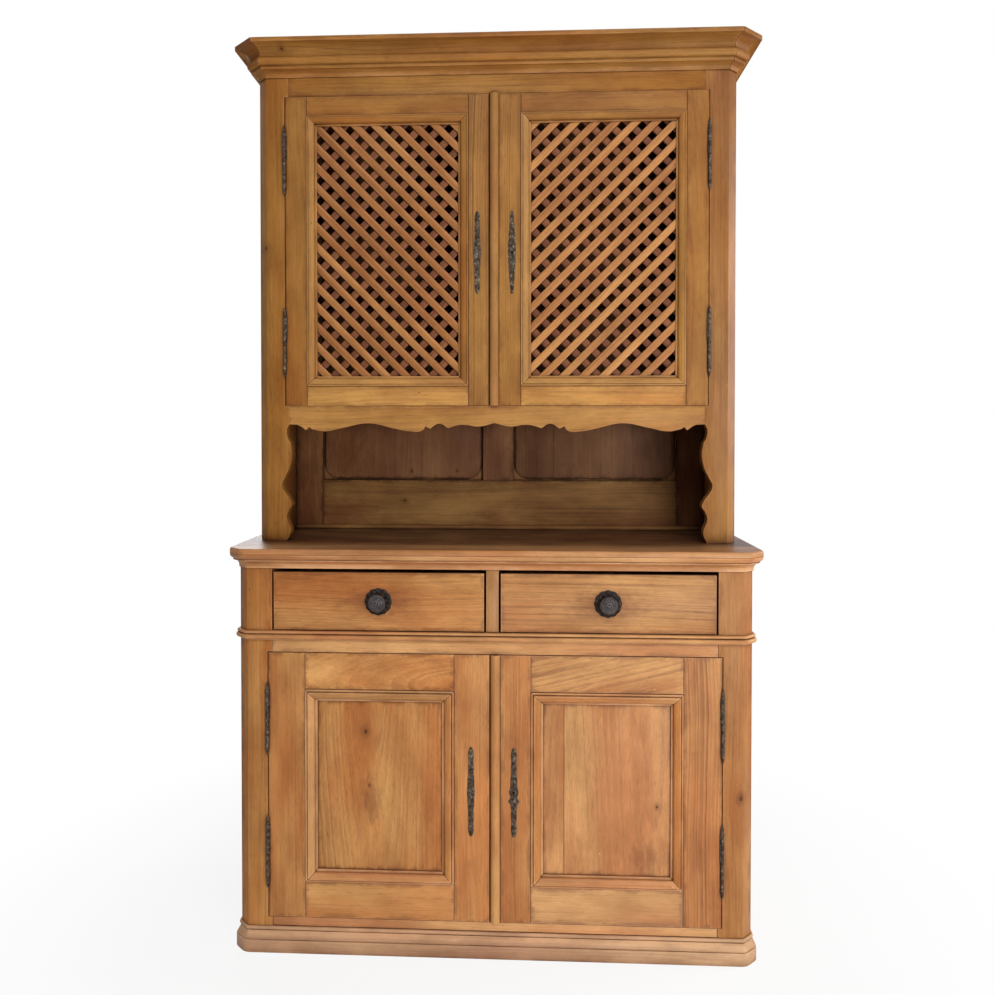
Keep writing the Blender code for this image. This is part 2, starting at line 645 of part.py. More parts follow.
def build_cornice():
    """From the bottom up: a small cove, a band, a torus, a large cove and a square crown."""
    back = SEAT_GAP
    fillet = MOULDING_FILLET
    band_z = CORNICE_COVE_HEIGHT
    torus_z = band_z + CORNICE_BAND_HEIGHT
    torus_top_z = torus_z + CORNICE_TORUS_HEIGHT
    crown_z = CORNICE_HEIGHT - CORNICE_CROWN_HEIGHT
    torus_radius = CORNICE_TORUS_HEIGHT / 2
    torus_bulge = CORNICE_TORUS_REACH - CORNICE_BAND_REACH - fillet
    cove_reach = CORNICE_REACH - fillet
    cove_z = torus_top_z + fillet
    profile = [(back, 0), (fillet, 0)]
    profile += arc(CORNICE_BAND_REACH, fillet, CORNICE_BAND_REACH - fillet, band_z - fillet, 180, 90)
    profile += [(CORNICE_BAND_REACH, torus_z)]
    profile += arc(CORNICE_BAND_REACH + fillet, torus_z + torus_radius, torus_bulge, torus_radius, -90, 90)
    profile += arc(cove_reach, cove_z, cove_reach - CORNICE_TORUS_REACH, crown_z - cove_z, 180, 90)
    profile += [(CORNICE_REACH, crown_z), (CORNICE_REACH, CORNICE_HEIGHT), (back, CORNICE_HEIGHT)]
    add_wrapped_moulding("cornice_moulding", profile, CORNICE_Z, UPPER_HALF_WIDTH, UPPER_FRONT_Y, UPPER_CANT)


def petal_outline():
    """A round plate whose rim is drawn into rounded petals."""
    count = ROSETTE_PETALS * ROSETTE_STEPS_PER_PETAL
    points = []
    for step in range(count):
        angle = 2 * pi * step / count
        lobe = abs(cos(ROSETTE_PETALS * angle / 2))
        radius = ROSETTE_RADIUS - ROSETTE_PETAL_DEPTH * (1 - lobe)
        points.append((radius * cos(angle), radius * sin(angle)))
    return points


def knob_profile():
    """A flattened ball on a neck and a foot, listed from the tip back to the foot."""
    ball = KNOB_BALL_DEPTH / 2
    profile = [(0, KNOB_LENGTH)]
    profile += arc(0, KNOB_LENGTH - ball, KNOB_RADIUS, ball, 75, -60, KNOB_ARC_STEPS)
    profile += [(KNOB_NECK_RADIUS, KNOB_LENGTH - KNOB_BALL_DEPTH), (KNOB_NECK_RADIUS, KNOB_FOOT_DEPTH)]
    return profile + [(KNOB_FOOT_RADIUS, KNOB_FOOT_DEPTH), (KNOB_FOOT_RADIUS, 0), (0, 0)]


def build_drawer(side_name, side):
    front_y = BASE_FRONT_Y - DRAWER_PROUD
    pivot_x = side * (DIVIDER_WIDTH / 2 + BASE_POST_INNER_X) / 2
    half_width = (BASE_POST_INNER_X - DIVIDER_WIDTH / 2) / 2 - DRAWER_SIDE_GAP
    pivot = add_pivot(f"{side_name}_drawer_slide", (pivot_x, BASE_FRONT_Y, DRAWER_Z))
    front_back_y = front_y + DRAWER_FRONT_THICKNESS
    front_low = (pivot_x - half_width, front_y, DRAWER_Z)
    front_high = (pivot_x + half_width, front_back_y, DRAWER_Z + DRAWER_HEIGHT)
    add_box(f"{side_name}_drawer_front", front_low, front_high, "pine", pivot)

    box_name = f"{side_name}_drawer_box"
    box_front_y = front_back_y + SEAT_GAP
    box_length = BASE_BACK_FACE_Y - DRAWER_BACK_CLEARANCE - box_front_y
    box_size = (2 * (half_width - DRAWER_BOX_INSET), box_length, DRAWER_BOX_HEIGHT)
    mesh = box_mesh(box_name, box_size)
    bm = bmesh.new()
    bm.from_mesh(mesh)
    lid = max(bm.faces, key=lambda face: face.calc_center_median().z)
    bmesh.ops.delete(bm, geom=[lid], context="FACES_ONLY")
    bm.to_mesh(mesh)
    bm.free()
    box_y = box_front_y + box_length / 2
    box_z = DRAWER_DECK_Z + DRAWER_RUN_GAP + DRAWER_BOX_HEIGHT / 2
    box = add_part(box_name, mesh, "pine_inside", (pivot_x, box_y, box_z), pivot)
    wall = box.modifiers.new("walls", "SOLIDIFY")
    wall.thickness = DRAWER_BOX_WALL
    wall.offset = -1
    wall.use_even_offset = True

    knob_z = DRAWER_Z + DRAWER_HEIGHT / 2
    rosette_back_y = front_y - SEAT_GAP
    rosette_mesh = stand_up(outline_mesh(f"{side_name}_drawer_rosette", [petal_outline()], ROSETTE_THICKNESS))
    rosette_place = (pivot_x, rosette_back_y - ROSETTE_THICKNESS / 2, knob_z)
    add_part(f"{side_name}_drawer_rosette", rosette_mesh, "iron", rosette_place, pivot)

    knob_mesh = profile_mesh(f"{side_name}_drawer_knob", knob_profile())
    knob_place = (pivot_x, rosette_back_y - ROSETTE_THICKNESS - SEAT_GAP, knob_z)
    knob = add_part(f"{side_name}_drawer_knob", knob_mesh, "iron", knob_place, pivot)
    knob.rotation_euler = (pi / 2, 0, 0)
    turn(knob, KNOB_STEPS)


@dataclass
class DoorLevel:
    """The sizes that the two doors of one level share."""
    name: str
    face_y: float
    low_z: float
    height: float
    thickness: float
    edge_x: float
    meeting_x: float
    opening_from_middle: float
    hinge_stile: float
    top_rail: float
    bottom_rail: float
    moulding_width: float
    moulding_proud: float
    moulding_back: float
    hinge_x: float
    post_face_y: float
    escutcheon_length: float
    escutcheon_x: float
    escutcheon_rise: float


LOWER_DOORS = DoorLevel(
    name="lower",
    face_y=BASE_FRONT_Y - DOOR_PROUD,
    low_z=LOWER_DOOR_Z,
    height=LOWER_DOOR_HEIGHT,
    thickness=LOWER_DOOR_THICKNESS,
    edge_x=LOWER_REBATE_X - DOOR_GAP,
    meeting_x=LOWER_MEETING_X,
    opening_from_middle=LOWER_OPENING_FROM_MIDDLE,
    hinge_stile=LOWER_HINGE_STILE,
    top_rail=LOWER_TOP_RAIL,
    bottom_rail=LOWER_BOTTOM_RAIL,
    moulding_width=LOWER_MOULDING_WIDTH,
    moulding_proud=LOWER_MOULDING_PROUD,
    moulding_back=LOWER_PANEL_DEPTH - SEAT_GAP,
    hinge_x=LOWER_REBATE_X - DOOR_GAP / 2,
    post_face_y=BASE_FRONT_Y,
    escutcheon_length=LOWER_ESCUTCHEON_LENGTH,
    escutcheon_x=LOWER_ESCUTCHEON_FROM_MIDDLE,
    escutcheon_rise=LOWER_ESCUTCHEON_RISE,
)

UPPER_DOORS = DoorLevel(
    name="upper",
    face_y=UPPER_FRONT_Y - DOOR_PROUD,
    low_z=UPPER_DOOR_Z,
    height=UPPER_DOOR_HEIGHT,
    thickness=UPPER_DOOR_THICKNESS,
    edge_x=UPPER_REBATE_X - DOOR_GAP,
    meeting_x=UPPER_MEETING_X,
    opening_from_middle=UPPER_OPENING_FROM_MIDDLE,
    hinge_stile=UPPER_HINGE_STILE,
    top_rail=UPPER_TOP_RAIL,
    bottom_rail=UPPER_BOTTOM_RAIL,
    moulding_width=UPPER_MOULDING_WIDTH,
    moulding_proud=UPPER_MOULDING_PROUD,
    moulding_back=LATTICE_DEPTH - SEAT_GAP,
    hinge_x=UPPER_REBATE_X - DOOR_GAP / 2,
    post_face_y=UPPER_FRONT_Y,
    escutcheon_length=UPPER_ESCUTCHEON_LENGTH,
    escutcheon_x=UPPER_ESCUTCHEON_FROM_MIDDLE,
    escutcheon_rise=UPPER_ESCUTCHEON_RISE,
)


def finial_profile():
    """Radius and distance out from the barrel's end."""
    # Share of the barrel's radius and share of the finial's length
    shares = [(0.60, 0.10), (0.90, 0.35), (0.80, 0.60), (0.40, 0.82), (0.00, 1.00)]
    return [(HINGE_RADIUS * radius, HINGE_FINIAL_LENGTH * reach) for radius, reach in shares]


def add_hinge(door, side_name, side, end_name, joint_z, pivot):
    """The post half, with its pin, as a piece of its own; the door half is returned to be joined on."""
    axis = (side * door.hinge_x, door.post_face_y - SEAT_GAP - HINGE_RADIUS)
    finial = finial_profile()
    bottom = -HINGE_KNUCKLE_LENGTH
    pin_profile = [(0, HINGE_PIN_LENGTH), (HINGE_PIN_RADIUS, HINGE_PIN_LENGTH), (HINGE_PIN_RADIUS, 0)]
    pin_profile += [(HINGE_RADIUS, 0), (HINGE_RADIUS, bottom)]
    pin_profile += [(radius, bottom - reach) for radius, reach in finial]
    pin_name = f"{door.name}_{side_name}_hinge_{end_name}"
    pin_mesh = profile_mesh(pin_name, pin_profile)
    turn(add_part(pin_name, pin_mesh, "iron", (*axis, joint_z)), TURN_STEPS)

    top = HINGE_KNUCKLE_LENGTH
    bore_radius = (HINGE_PIN_RADIUS + PIN_CLEARANCE) / cos(pi / TURN_STEPS)
    bore_top = HINGE_PIN_LENGTH + PIN_CLEARANCE
    sleeve_profile = [(radius, top + reach) for radius, reach in reversed(finial)]
    sleeve_profile += [(HINGE_RADIUS, top), (HINGE_RADIUS, PIN_CLEARANCE), (bore_radius, PIN_CLEARANCE)]
    sleeve_profile += [(bore_radius, bore_top), (0, bore_top)]
    sleeve_mesh = profile_mesh(pin_name + "_sleeve", sleeve_profile)
    sleeve = add_cutter(pin_name + "_sleeve", sleeve_mesh, (*axis, joint_z), pivot)
    turn(sleeve, TURN_STEPS)

    leaf_back_y = door.post_face_y - HINGE_LEAF_CLEARANCE
    leaf_inner_x = side * (door.edge_x - HINGE_LEAF_LAP)
    leaf_outer_x = side * (door.hinge_x - HINGE_RADIUS / 2)
    low_x, high_x = sorted((leaf_inner_x, leaf_outer_x))
    leaf_low_z = joint_z + (HINGE_KNUCKLE_LENGTH - HINGE_LEAF_HEIGHT) / 2
    leaf = add_box_cutter(
        pin_name + "_leaf", (low_x, leaf_back_y - HINGE_LEAF_THICKNESS, leaf_low_z),
        (high_x, leaf_back_y, leaf_low_z + HINGE_LEAF_HEIGHT), pivot,
    )
    return [sleeve, leaf]


def frame_ring(profile, low_x, low_z, high_x, high_z):
    """Mitred loops of a four-sided moulding from (inset, forward) points, in XZ about the door face."""
    loops = []
    corners = [(low_x, low_z, 1, 1), (high_x, low_z, -1, 1), (high_x, high_z, -1, -1), (low_x, high_z, 1, -1)]
    for x, z, inward_x, inward_z in corners:
        loops.append([(x + inward_x * inset, -forward, z + inward_z * inset) for inset, forward in profile])
    return loops


def bolection_profile(width, proud, back):
    """A flat lip, a quirk, an ovolo and a toe, as inset from the opening and height above the door face."""
    lip = MOULDING_LIP_WIDTH
    ovolo_inset = lip + MOULDING_QUIRK
    ovolo_width = width - MOULDING_TOE_WIDTH - ovolo_inset
    ovolo_height = proud + MOULDING_OVOLO_DROP
    quirk_height = MOULDING_LIP_PROUD - MOULDING_QUIRK
    profile = [(SEAT_GAP, -back), (SEAT_GAP, MOULDING_LIP_PROUD), (lip, MOULDING_LIP_PROUD)]
    profile += [(lip, quirk_height), (ovolo_inset, quirk_height)]
    profile += arc(ovolo_inset, -MOULDING_OVOLO_DROP, ovolo_width, ovolo_height, 90, 0)
    return profile + [
        (width - MOULDING_TOE_WIDTH, -MOULDING_TOE_DROP), (width, -MOULDING_TOE_DROP), (width, -back),
    ]


def escutcheon_outline(length):
    """A slim scrolled plate, mirrored about both of its axes."""
    # Share of the half width and share of the half length
    quarter = [
        (0.92, 0.00), (1.00, 0.10), (0.78, 0.21), (0.94, 0.34), (0.98, 0.50),
        (0.82, 0.66), (0.76, 0.78), (0.84, 0.88), (0.58, 0.96),
    ]
    right = [(ESCUTCHEON_HALF_WIDTH * x, length / 2 * z, False) for x, z in quarter]
    top = (0, length / 2, False)
    bottom = (0, -length / 2, False)
    below_right = [(x, -z, smooth) for x, z, smooth in reversed(right[1:])]
    return below_right + right + [top] + mirrored_x(below_right + right) + [bottom]


def keyhole_outline():
    """A round eye over a straight slot."""
    half_slot = KEYHOLE_SLOT_WIDTH / 2
    eye = arc(0, 0, KEYHOLE_RADIUS, KEYHOLE_RADIUS, -50, 230, 2 * ARC_STEPS)
    slot = [(-half_slot, -KEYHOLE_SLOT_LENGTH), (half_slot, -KEYHOLE_SLOT_LENGTH)]
    return [(x, z, True) for x, z in eye + slot]


def build_lattice(door, side_name, side, opening, pivot):
    """Two layers of slats at 45 degrees, let into a hidden ring behind the door's moulding."""
    name = f"{door.name}_{side_name}_door_lattice"
    low_x, low_z, high_x, high_z = opening
    ring_outer = rectangle(low_x + SEAT_GAP, low_z + SEAT_GAP, high_x - SEAT_GAP, high_z - SEAT_GAP)
    inner = LATTICE_RING_WIDTH
    ring_inner = rectangle(low_x + inner, low_z + inner, high_x - inner, high_z - inner)
    thickness = 2 * SLAT_THICKNESS + SLAT_LAYER_GAP
    front_y = door.face_y + LATTICE_DEPTH
    ring = add_upright_plate(name, [ring_outer, ring_inner], front_y, thickness, "pine_lattice", pivot)

    centre_x, centre_z = (low_x + high_x) / 2, (low_z + high_z) / 2
    half_x = (high_x - low_x) / 2 - SLAT_ANCHOR
    half_z = (high_z - low_z) / 2 - SLAT_ANCHOR
    spread = half_x + half_z
    count = int(spread / (SLAT_PITCH * 2 ** 0.5)) + 1
    # The depth of each layer inside the ring, kept off the ring's own faces
    cover = SLAT_LAYER_GAP / 2
    rear_depth = thickness - SLAT_THICKNESS
    layers = (("front", cover, -side, FRONT_SLAT_SHIFT), ("rear", rear_depth, side, REAR_SLAT_SHIFT))
    for layer_name, depth, lean, shift in layers:
        bm = bmesh.new()
        layer_thickness = SLAT_THICKNESS - cover
        for index in range(-count, count + 1):
            offset = index * SLAT_PITCH + shift
            place = Matrix.Rotation(lean * pi / 4, 4, "Y") @ Matrix.Translation((0, 0, offset))
            size = Matrix.Diagonal((2 * spread, layer_thickness, SLAT_WIDTH, 1))
            bmesh.ops.create_cube(bm, size=1.0, matrix=place @ size)
        middle_y = front_y + depth + layer_thickness / 2
        slats_name = f"{name}_{layer_name}_slats"
        slats = add_cutter(slats_name, finish_mesh(bm, slats_name), (centre_x, middle_y, centre_z), pivot)
        trim_low = (centre_x - half_x, front_y - thickness, centre_z - half_z)
        trim_high = (centre_x + half_x, front_y + 2 * thickness, centre_z + half_z)
        trim = add_box_cutter(slats_name + "_trim", trim_low, trim_high, pivot)
        add_boolean(slats, trim, "INTERSECT")
        add_boolean(ring, slats, "UNION")


def build_panel(door, side_name, opening, pivot):
    low_x, low_z, high_x, high_z = opening
    front_y = door.face_y + LOWER_PANEL_DEPTH
    panel_low = (low_x + SEAT_GAP, front_y, low_z + SEAT_GAP)
    panel_high = (high_x - SEAT_GAP, front_y + LOWER_PANEL_THICKNESS, high_z - SEAT_GAP)
    add_box(f"{door.name}_{side_name}_door_panel", panel_low, panel_high, "pine", pivot)


def build_lock(door, escutcheon_z, pivot):
    """A flat lock case on the back of the right-hand door, its bolt drawn in."""
    back_y = door.face_y + door.thickness + SEAT_GAP
    low_x, high_x = door.escutcheon_x - LOCK_WIDTH / 2, door.escutcheon_x + LOCK_WIDTH / 2
    low_z, high_z = escutcheon_z - LOCK_HEIGHT / 2, escutcheon_z + LOCK_HEIGHT / 2
    bolt_x = low_x - LOCK_BOLT_LENGTH
    bolt_low_z, bolt_high_z = escutcheon_z - LOCK_BOLT_HEIGHT / 2, escutcheon_z + LOCK_BOLT_HEIGHT / 2
    case = [(low_x, low_z), (high_x, low_z), (high_x, high_z), (low_x, high_z)]
    case += [(low_x, bolt_high_z), (bolt_x, bolt_high_z), (bolt_x, bolt_low_z), (low_x, bolt_low_z)]
    add_upright_plate(f"{door.name}_lock", [case], back_y, LOCK_THICKNESS, "iron", pivot)


def build_door(door, side_name, side):
    name = f"{door.name}_{side_name}_door"
    high_z = door.low_z + door.height
    low_x, high_x = sorted((side * door.edge_x, door.meeting_x + side * MEETING_GAP / 2))
    axis_y = door.post_face_y - SEAT_GAP - HINGE_RADIUS
    pivot = add_pivot(name + "_pivot", (side * door.hinge_x, axis_y, door.low_z))

    inner_x = side * door.opening_from_middle
    outer_x = side * (door.edge_x - door.hinge_stile)
    opening_low_z = door.low_z + door.bottom_rail
    opening = (min(inner_x, outer_x), opening_low_z, max(inner_x, outer_x), high_z - door.top_rail)
    loops = [rectangle(low_x, door.low_z, high_x, high_z), rectangle(*opening)]
    frame = add_upright_plate(name + "_frame", loops, door.face_y, door.thickness, "pine", pivot)
    bevel_front_corner(frame.data, side, DOOR_EDGE_ROUND, ARC_STEPS)
    upper_joint_z = high_z - HINGE_FROM_DOOR_END
    lower_joint_z = door.low_z + HINGE_FROM_DOOR_END
    for end_name, joint_z in (("top", upper_joint_z), ("bottom", lower_joint_z)):
        for knuckle in add_hinge(door, side_name, side, end_name, joint_z, pivot):
            add_boolean(frame, knuckle, "UNION")
    if side > 0:
        bead_section = arc(BEAD_WIDTH / 2, 0, BEAD_WIDTH / 2 - SEAT_GAP, BEAD_REACH, 0, 180, 2 * ARC_STEPS)
        bead_section += [(SEAT_GAP, -BEAD_REACH), (BEAD_WIDTH - SEAT_GAP, -BEAD_REACH)]
        bead_loops = []
        for z in (SEAT_GAP, door.height - SEAT_GAP):
            bead_loops.append([(x, -forward, z) for x, forward in bead_section])
        bead_mesh = loft_mesh(name + "_bead", bead_loops, closed=False)
        bead = add_cutter(name + "_bead", bead_mesh, (low_x, door.face_y, door.low_z), pivot)
        add_boolean(frame, bead, "UNION")

    profile = bolection_profile(door.moulding_width, door.moulding_proud, door.moulding_back)
    moulding_mesh = loft_mesh(name + "_moulding", frame_ring(profile, *opening), closed=True)
    add_part(name + "_moulding", moulding_mesh, "pine", (0, door.face_y, 0), pivot)
    if door.name == "upper":
        build_lattice(door, side_name, side, opening, pivot)
    else:
        build_panel(door, side_name, opening, pivot)

    escutcheon_z = door.low_z + door.escutcheon_rise
    loops = [escutcheon_outline(door.escutcheon_length)]
    if side > 0:
        loops.append(keyhole_outline())
        build_lock(door, escutcheon_z, pivot)
    plate_mesh = stand_up(outline_mesh(name + "_escutcheon", loops, ESCUTCHEON_THICKNESS, bezier_spline))
    plate_y = door.face_y - SEAT_GAP - ESCUTCHEON_THICKNESS / 2
    plate_place = (side * door.escutcheon_x, plate_y, escutcheon_z)
    add_part(name + "_escutcheon", plate_mesh, "iron", plate_place, pivot)


for old_object in list(bpy.data.objects):
    bpy.data.objects.remove(old_object)
PARTS = make_collection("kitchen_dresser")
CUTTERS = make_collection("cutters")

build_base_carcass()
build_base_mouldings()
build_worktop()
build_upper_carcass()
build_upper_back()
build_cornice()
for drawer_side_name, drawer_side in SIDES.items():
    build_drawer(drawer_side_name, drawer_side)
for door_level in (LOWER_DOORS, UPPER_DOORS):
    for door_side_name, door_side in SIDES.items():
        build_door(door_level, door_side_name, door_side)
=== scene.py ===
"""Looks of the waxed-pine kitchen dresser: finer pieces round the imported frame, and a white stage.

Metres, in the frame's own coordinates: +Z up, the front faces -Y. Pieces are modelled where they stand,
with their objects at the origin, so object coordinates in the materials are those of the closed dresser.
"""
import json
from dataclasses import dataclass
from math import cos, exp, pi, radians, sin, tan
from zlib import crc32

import bmesh
import bpy
from mathutils import Matrix, Vector


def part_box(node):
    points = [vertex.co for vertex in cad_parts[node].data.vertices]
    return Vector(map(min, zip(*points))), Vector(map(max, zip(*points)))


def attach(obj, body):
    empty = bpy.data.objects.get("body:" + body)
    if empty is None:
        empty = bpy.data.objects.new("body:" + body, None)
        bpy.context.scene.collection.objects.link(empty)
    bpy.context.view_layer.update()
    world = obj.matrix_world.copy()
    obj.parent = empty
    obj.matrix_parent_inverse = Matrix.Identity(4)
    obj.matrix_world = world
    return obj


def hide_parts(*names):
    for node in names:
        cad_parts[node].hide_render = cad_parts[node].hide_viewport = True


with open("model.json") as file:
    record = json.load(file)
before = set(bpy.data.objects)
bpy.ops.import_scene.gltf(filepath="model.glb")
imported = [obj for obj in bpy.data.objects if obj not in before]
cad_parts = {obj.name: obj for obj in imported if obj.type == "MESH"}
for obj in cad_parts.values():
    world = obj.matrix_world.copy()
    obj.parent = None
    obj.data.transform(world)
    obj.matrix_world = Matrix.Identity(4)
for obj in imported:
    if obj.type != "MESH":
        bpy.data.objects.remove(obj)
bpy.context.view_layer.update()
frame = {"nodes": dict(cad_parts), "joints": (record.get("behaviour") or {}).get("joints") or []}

# Camera, from the photograph's perspective
PHOTO_HEIGHT = 995
PHOTO_WIDTH = 994
FOCAL_PIXELS = 903.7
PRINCIPAL_POINT = (480.9, 441.9)
SENSOR_SIZE = 36.0
CAMERA_PLACE = (0.083, -2.3631, 1.2764)
CAMERA_PITCH = -0.971
CAMERA_YAW = 2.936

# Gaps between pieces
SEAT_GAP = 0.0003
DOOR_GAP = 0.0020
MEETING_GAP = 0.0020
MEETING_WEAR = 0.0004
JOINT_GAP = 0.0004
MITRE_GAP = 0.0005

# Mouldings round the carcass
BASE_CANT = 0.024
UPPER_CANT = 0.0225
FILLET = 0.003
CORNER_EASE = 0.013
CORNER_EASE_REACH = 0.012
CORNER_STEPS = 6
PLINTH_REACH = 0.014
PLINTH_BOARD_HEIGHT = 0.030
PLINTH_BOARD_ROUND = 0.0035
PLINTH_BEAD_HEIGHT = 0.0090
PLINTH_BEAD_REACH = 0.0058
PLINTH_QUIRK = 0.0012
PLINTH_BACKING_THICKNESS = 0.018
WAIST_REACH = 0.012
WAIST_THIN_REACH = 0.009
WAIST_SPLIT = 0.64
WAIST_QUIRK = 0.0016
CAVETTO_REACH = 0.018
NOSING_OVERHANG = 0.0255
NOSING_TOP_ROUND = 0.0065
NOSING_FOOT_ROUND = 0.0110
CORNICE_REACH = 0.058
CORNICE_COVE_HEIGHT = 0.0165
CORNICE_BAND_HEIGHT = 0.009
CORNICE_BAND_REACH = 0.020
CORNICE_TORUS_HEIGHT = 0.021
CORNICE_TORUS_REACH = 0.030
CORNICE_CROWN_HEIGHT = 0.011

# Doors
DOOR_PROUD = 0.002
DOOR_EDGE_ROUND = 0.0065
DOOR_REVEAL = 0.0005
BEAD_WIDTH = 0.023
BEAD_REACH = 0.0090
BEAD_FULLNESS = 0.7
MOULDING_LIP_WIDTH = 0.0050
MOULDING_LIP_PROUD = 0.0025
MOULDING_OVOLO_DROP = 0.0028
MOULDING_TOE_WIDTH = 0.0055
MOULDING_TOE_DROP = 0.0058

# Lattice
SLAT_WIDTH = 0.0182
SLAT_THICKNESS = 0.0058
SLAT_PITCH = 0.0360
SLAT_CROWN = 0.0024
SLAT_ANCHOR = 0.010
SLAT_LAYER_GAP = 0.0006
FRONT_SLAT_SHIFT = -0.0120
REAR_SLAT_SHIFT = -0.0165
LATTICE_RING_WIDTH = 0.0225

# Framed back
BACK_STILE_WIDTH = 0.078
BACK_MUNTIN_WIDTH = 0.087
BACK_BOTTOM_RAIL_HEIGHT = 0.1395
BACK_TOP_RAIL_HEIGHT = 0.110
FIELD_INSET = 0.004
FIELD_ROUND = 0.042
FIELD_THICKNESS = 0.008
FIELD_SLOPE = 0.006
FOOT_STRIP_DEPTH = 0.010
FOOT_STRIP_HEIGHT = 0.012

# Hinges
HINGE_RADIUS = 0.0045
HINGE_PIN_RADIUS = 0.0028
HINGE_PIN_LENGTH = 0.060
HINGE_KNUCKLE_LENGTH = 0.068
HINGE_FINIAL_LENGTH = 0.022
HINGE_CLEARANCE = 0.0005
HINGE_LEAF_HEIGHT = 0.060
HINGE_LEAF_LAP = 0.006
HINGE_LEAF_DEPTH = 0.012
HINGE_LEAF_GRIP = 1.3
HINGE_RING_DEPTH = 0.0007
HINGE_RING_HEIGHT = 0.0035
HINGE_RING_FADE = 1.3
HINGE_RING_SHOULDER = 0.95
HINGE_MIDDLE_RING = (0.44, 0.46, 0.50, 0.54, 0.56)
# Shares of the barrel's radius and of the finial's length, outwards
HINGE_FINIAL = (
    (0.80, 0.05), (0.62, 0.12), (0.80, 0.24), (0.76, 0.42), (0.58, 0.62), (0.38, 0.80), (0.20, 0.93), (0, 1),
)

# Outline of the key plates; places and widths are shares of the half length
PLATE_HALF_WIDTH = 0.0098
PLATE_LEAST_HALF_WIDTH = 0.0006
PLATE_EDGE_HEIGHT = 0.0009
PLATE_END = 0.998
PLATE_COLUMNS = 16
PLATE_ROWS = 120
PLATE_NECK = 0.62
PLATE_BELLY = 0.30
PLATE_BELLY_REACH = 0.32
PLATE_WAVE = 0.05
PLATE_WAVE_RATE = 23.0
PLATE_TIP_START = 0.86
PLATE_TIP_POWER = 2.2
EAR_REACH = 0.0055
EAR_PLACE = -0.20
EAR_WIDTH = 0.07
EAR_FULLNESS = 0.8
SHOULDER_SHARE = 0.35
SHOULDER_PLACE = 0.02
SHOULDER_WIDTH = 0.10
LEAF_TIP = 0.30
LEAF_POWER = 1.3
LEAF_WAVE = 0.06
LEAF_WAVE_RATE = 30.0

# Relief of the key plates, with heights as shares of the whole
RELIEF_LEAVES = 7.0
RELIEF_SLANT = 1.6
RELIEF_STEM_WIDTH = 0.22
RELIEF_BOSS_WIDTH = 0.10
RELIEF_SHELL_PLACE = 0.90
RELIEF_SHELL_WIDTH = 0.10
RELIEF_SHELL_RIBS = 9
DOME_HEIGHT = 0.30
LEAVES_HEIGHT = 0.45
STEM_HEIGHT = 0.25
SHELL_HEIGHT = 0.5
BOSS_HEIGHT = 0.35
KEY_FIELD_HEIGHT = 0.55

# Keyholes
KEYHOLE_RADIUS = 0.0030
KEYHOLE_SLOT_WIDTH = 0.0026
KEYHOLE_SLOT_LENGTH = 0.0085
KEYHOLE_DEPTH = 0.014
KEYHOLE_HALF_ANGLE = 26

# Knobs and rosettes
KNOB_RADIUS = 0.0214
KNOB_FACE = 0.96
KNOB_DOME = 0.0105
KNOB_DOME_POWER = 2.4
KNOB_STEPS = 48
KNOB_FOOT = 0.58
# Shares of the knob's radius and length, from the rim back to the foot
KNOB_BACK = (
    (1.0, 0.62), (0.98, 0.54), (0.86, 0.45), (0.62, 0.37), (0.42, 0.32), (0.36, 0.24), (0.42, 0.14),
    (KNOB_FOOT, 0.10),
)
KNOB_GROOVES = (0.22, 0.50, 0.76)
KNOB_GROOVE_DEPTH = 0.0012
KNOB_GROOVE_WIDTH = 0.055
ROSETTE_RADIUS = 0.033
ROSETTE_RINGS = 22
ROSETTE_RIM = 0.25
ROSETTE_DISH = 0.42
ROSETTE_PETALS = 12
PETAL_STEPS = 12
PETAL_DEPTH = 0.0022
PETAL_FULLNESS = 0.7
PETAL_START = 0.42
PETAL_VALLEY = 0.25
COLLAR_PLACE = 0.40
COLLAR_WIDTH = 0.06
COLLAR_HEIGHT = 0.8

# Softness of arrises and smoothness of round shapes
BOARD_EASE = 0.0016
POST_EASE = 0.0022
ARRIS_EASE = 0.0007
EASE_SEGMENTS = 3
WELD_DISTANCE = 0.00002
SMOOTH_ANGLE = radians(35)
ARC_STEPS = 12
ROLL_STEPS = 20
TURN_STEPS = 40

# Layout and wear of the materials, and their painted light and shade
PINE_BUMP_STRENGTH = 0.25
PINE_BUMP_DISTANCE = 0.0008
SEED_COUNT = 1009
SEED_STEP = 0.042607
CHANCE_COUNT = 2003
HEART_DEPTH = 0.055
HEART_SPREAD = 0.09
TONE_SPREAD = 0.06
SHADE_RED_POWER = 0.85
SHADE_BLUE_POWER = 1.10
EDGE_DIRT_NARROW = 0.003
EDGE_DIRT_WIDE = 0.024
EDGE_DIRT_BOARD_WIDTH = 0.06
FRONT_FACING = (-0.8, -0.3)
# Painted shade on the worktop's top: faces that look up darken, less at the front and most under the upper
# cabinet
TOP_FACING = (0.96, 0.995)
TOP_FRONT_Y = -0.20
TOP_DARK_Y = -0.07
TOP_FRONT_SHADE_SHARE = 0.36
CLOSENESS_SAMPLES = 6
IRON_BUMP_STRENGTH = 0.55
IRON_BUMP_DISTANCE = 0.0010
IRON_METALLIC = 0.20
IRON_HOLLOW_REACH = 0.006
ARRIS_WEAR_AND_HIGHLIGHT_REACH = 0.006

# Stage
FLOOR_HALF_SIZE = 30.0
FLOOR_PAINT = (0.80, 0.80, 0.80, 1)
FLOOR_SHADE_NEAR = 0.7
FLOOR_SHADE_FAR = 1.6
FLOOR_WHITE_NEAR = 0.86
WHITE = (1, 1, 1, 1)
AMBIENT = 0.20

# Directions
FRONT_GRAIN = (1, 0, 0)
DEPTH_GRAIN = (0, 1, 0)
UPRIGHT_GRAIN = (0, 0, 1)
SIDES = {"left": -1, "right": 1}


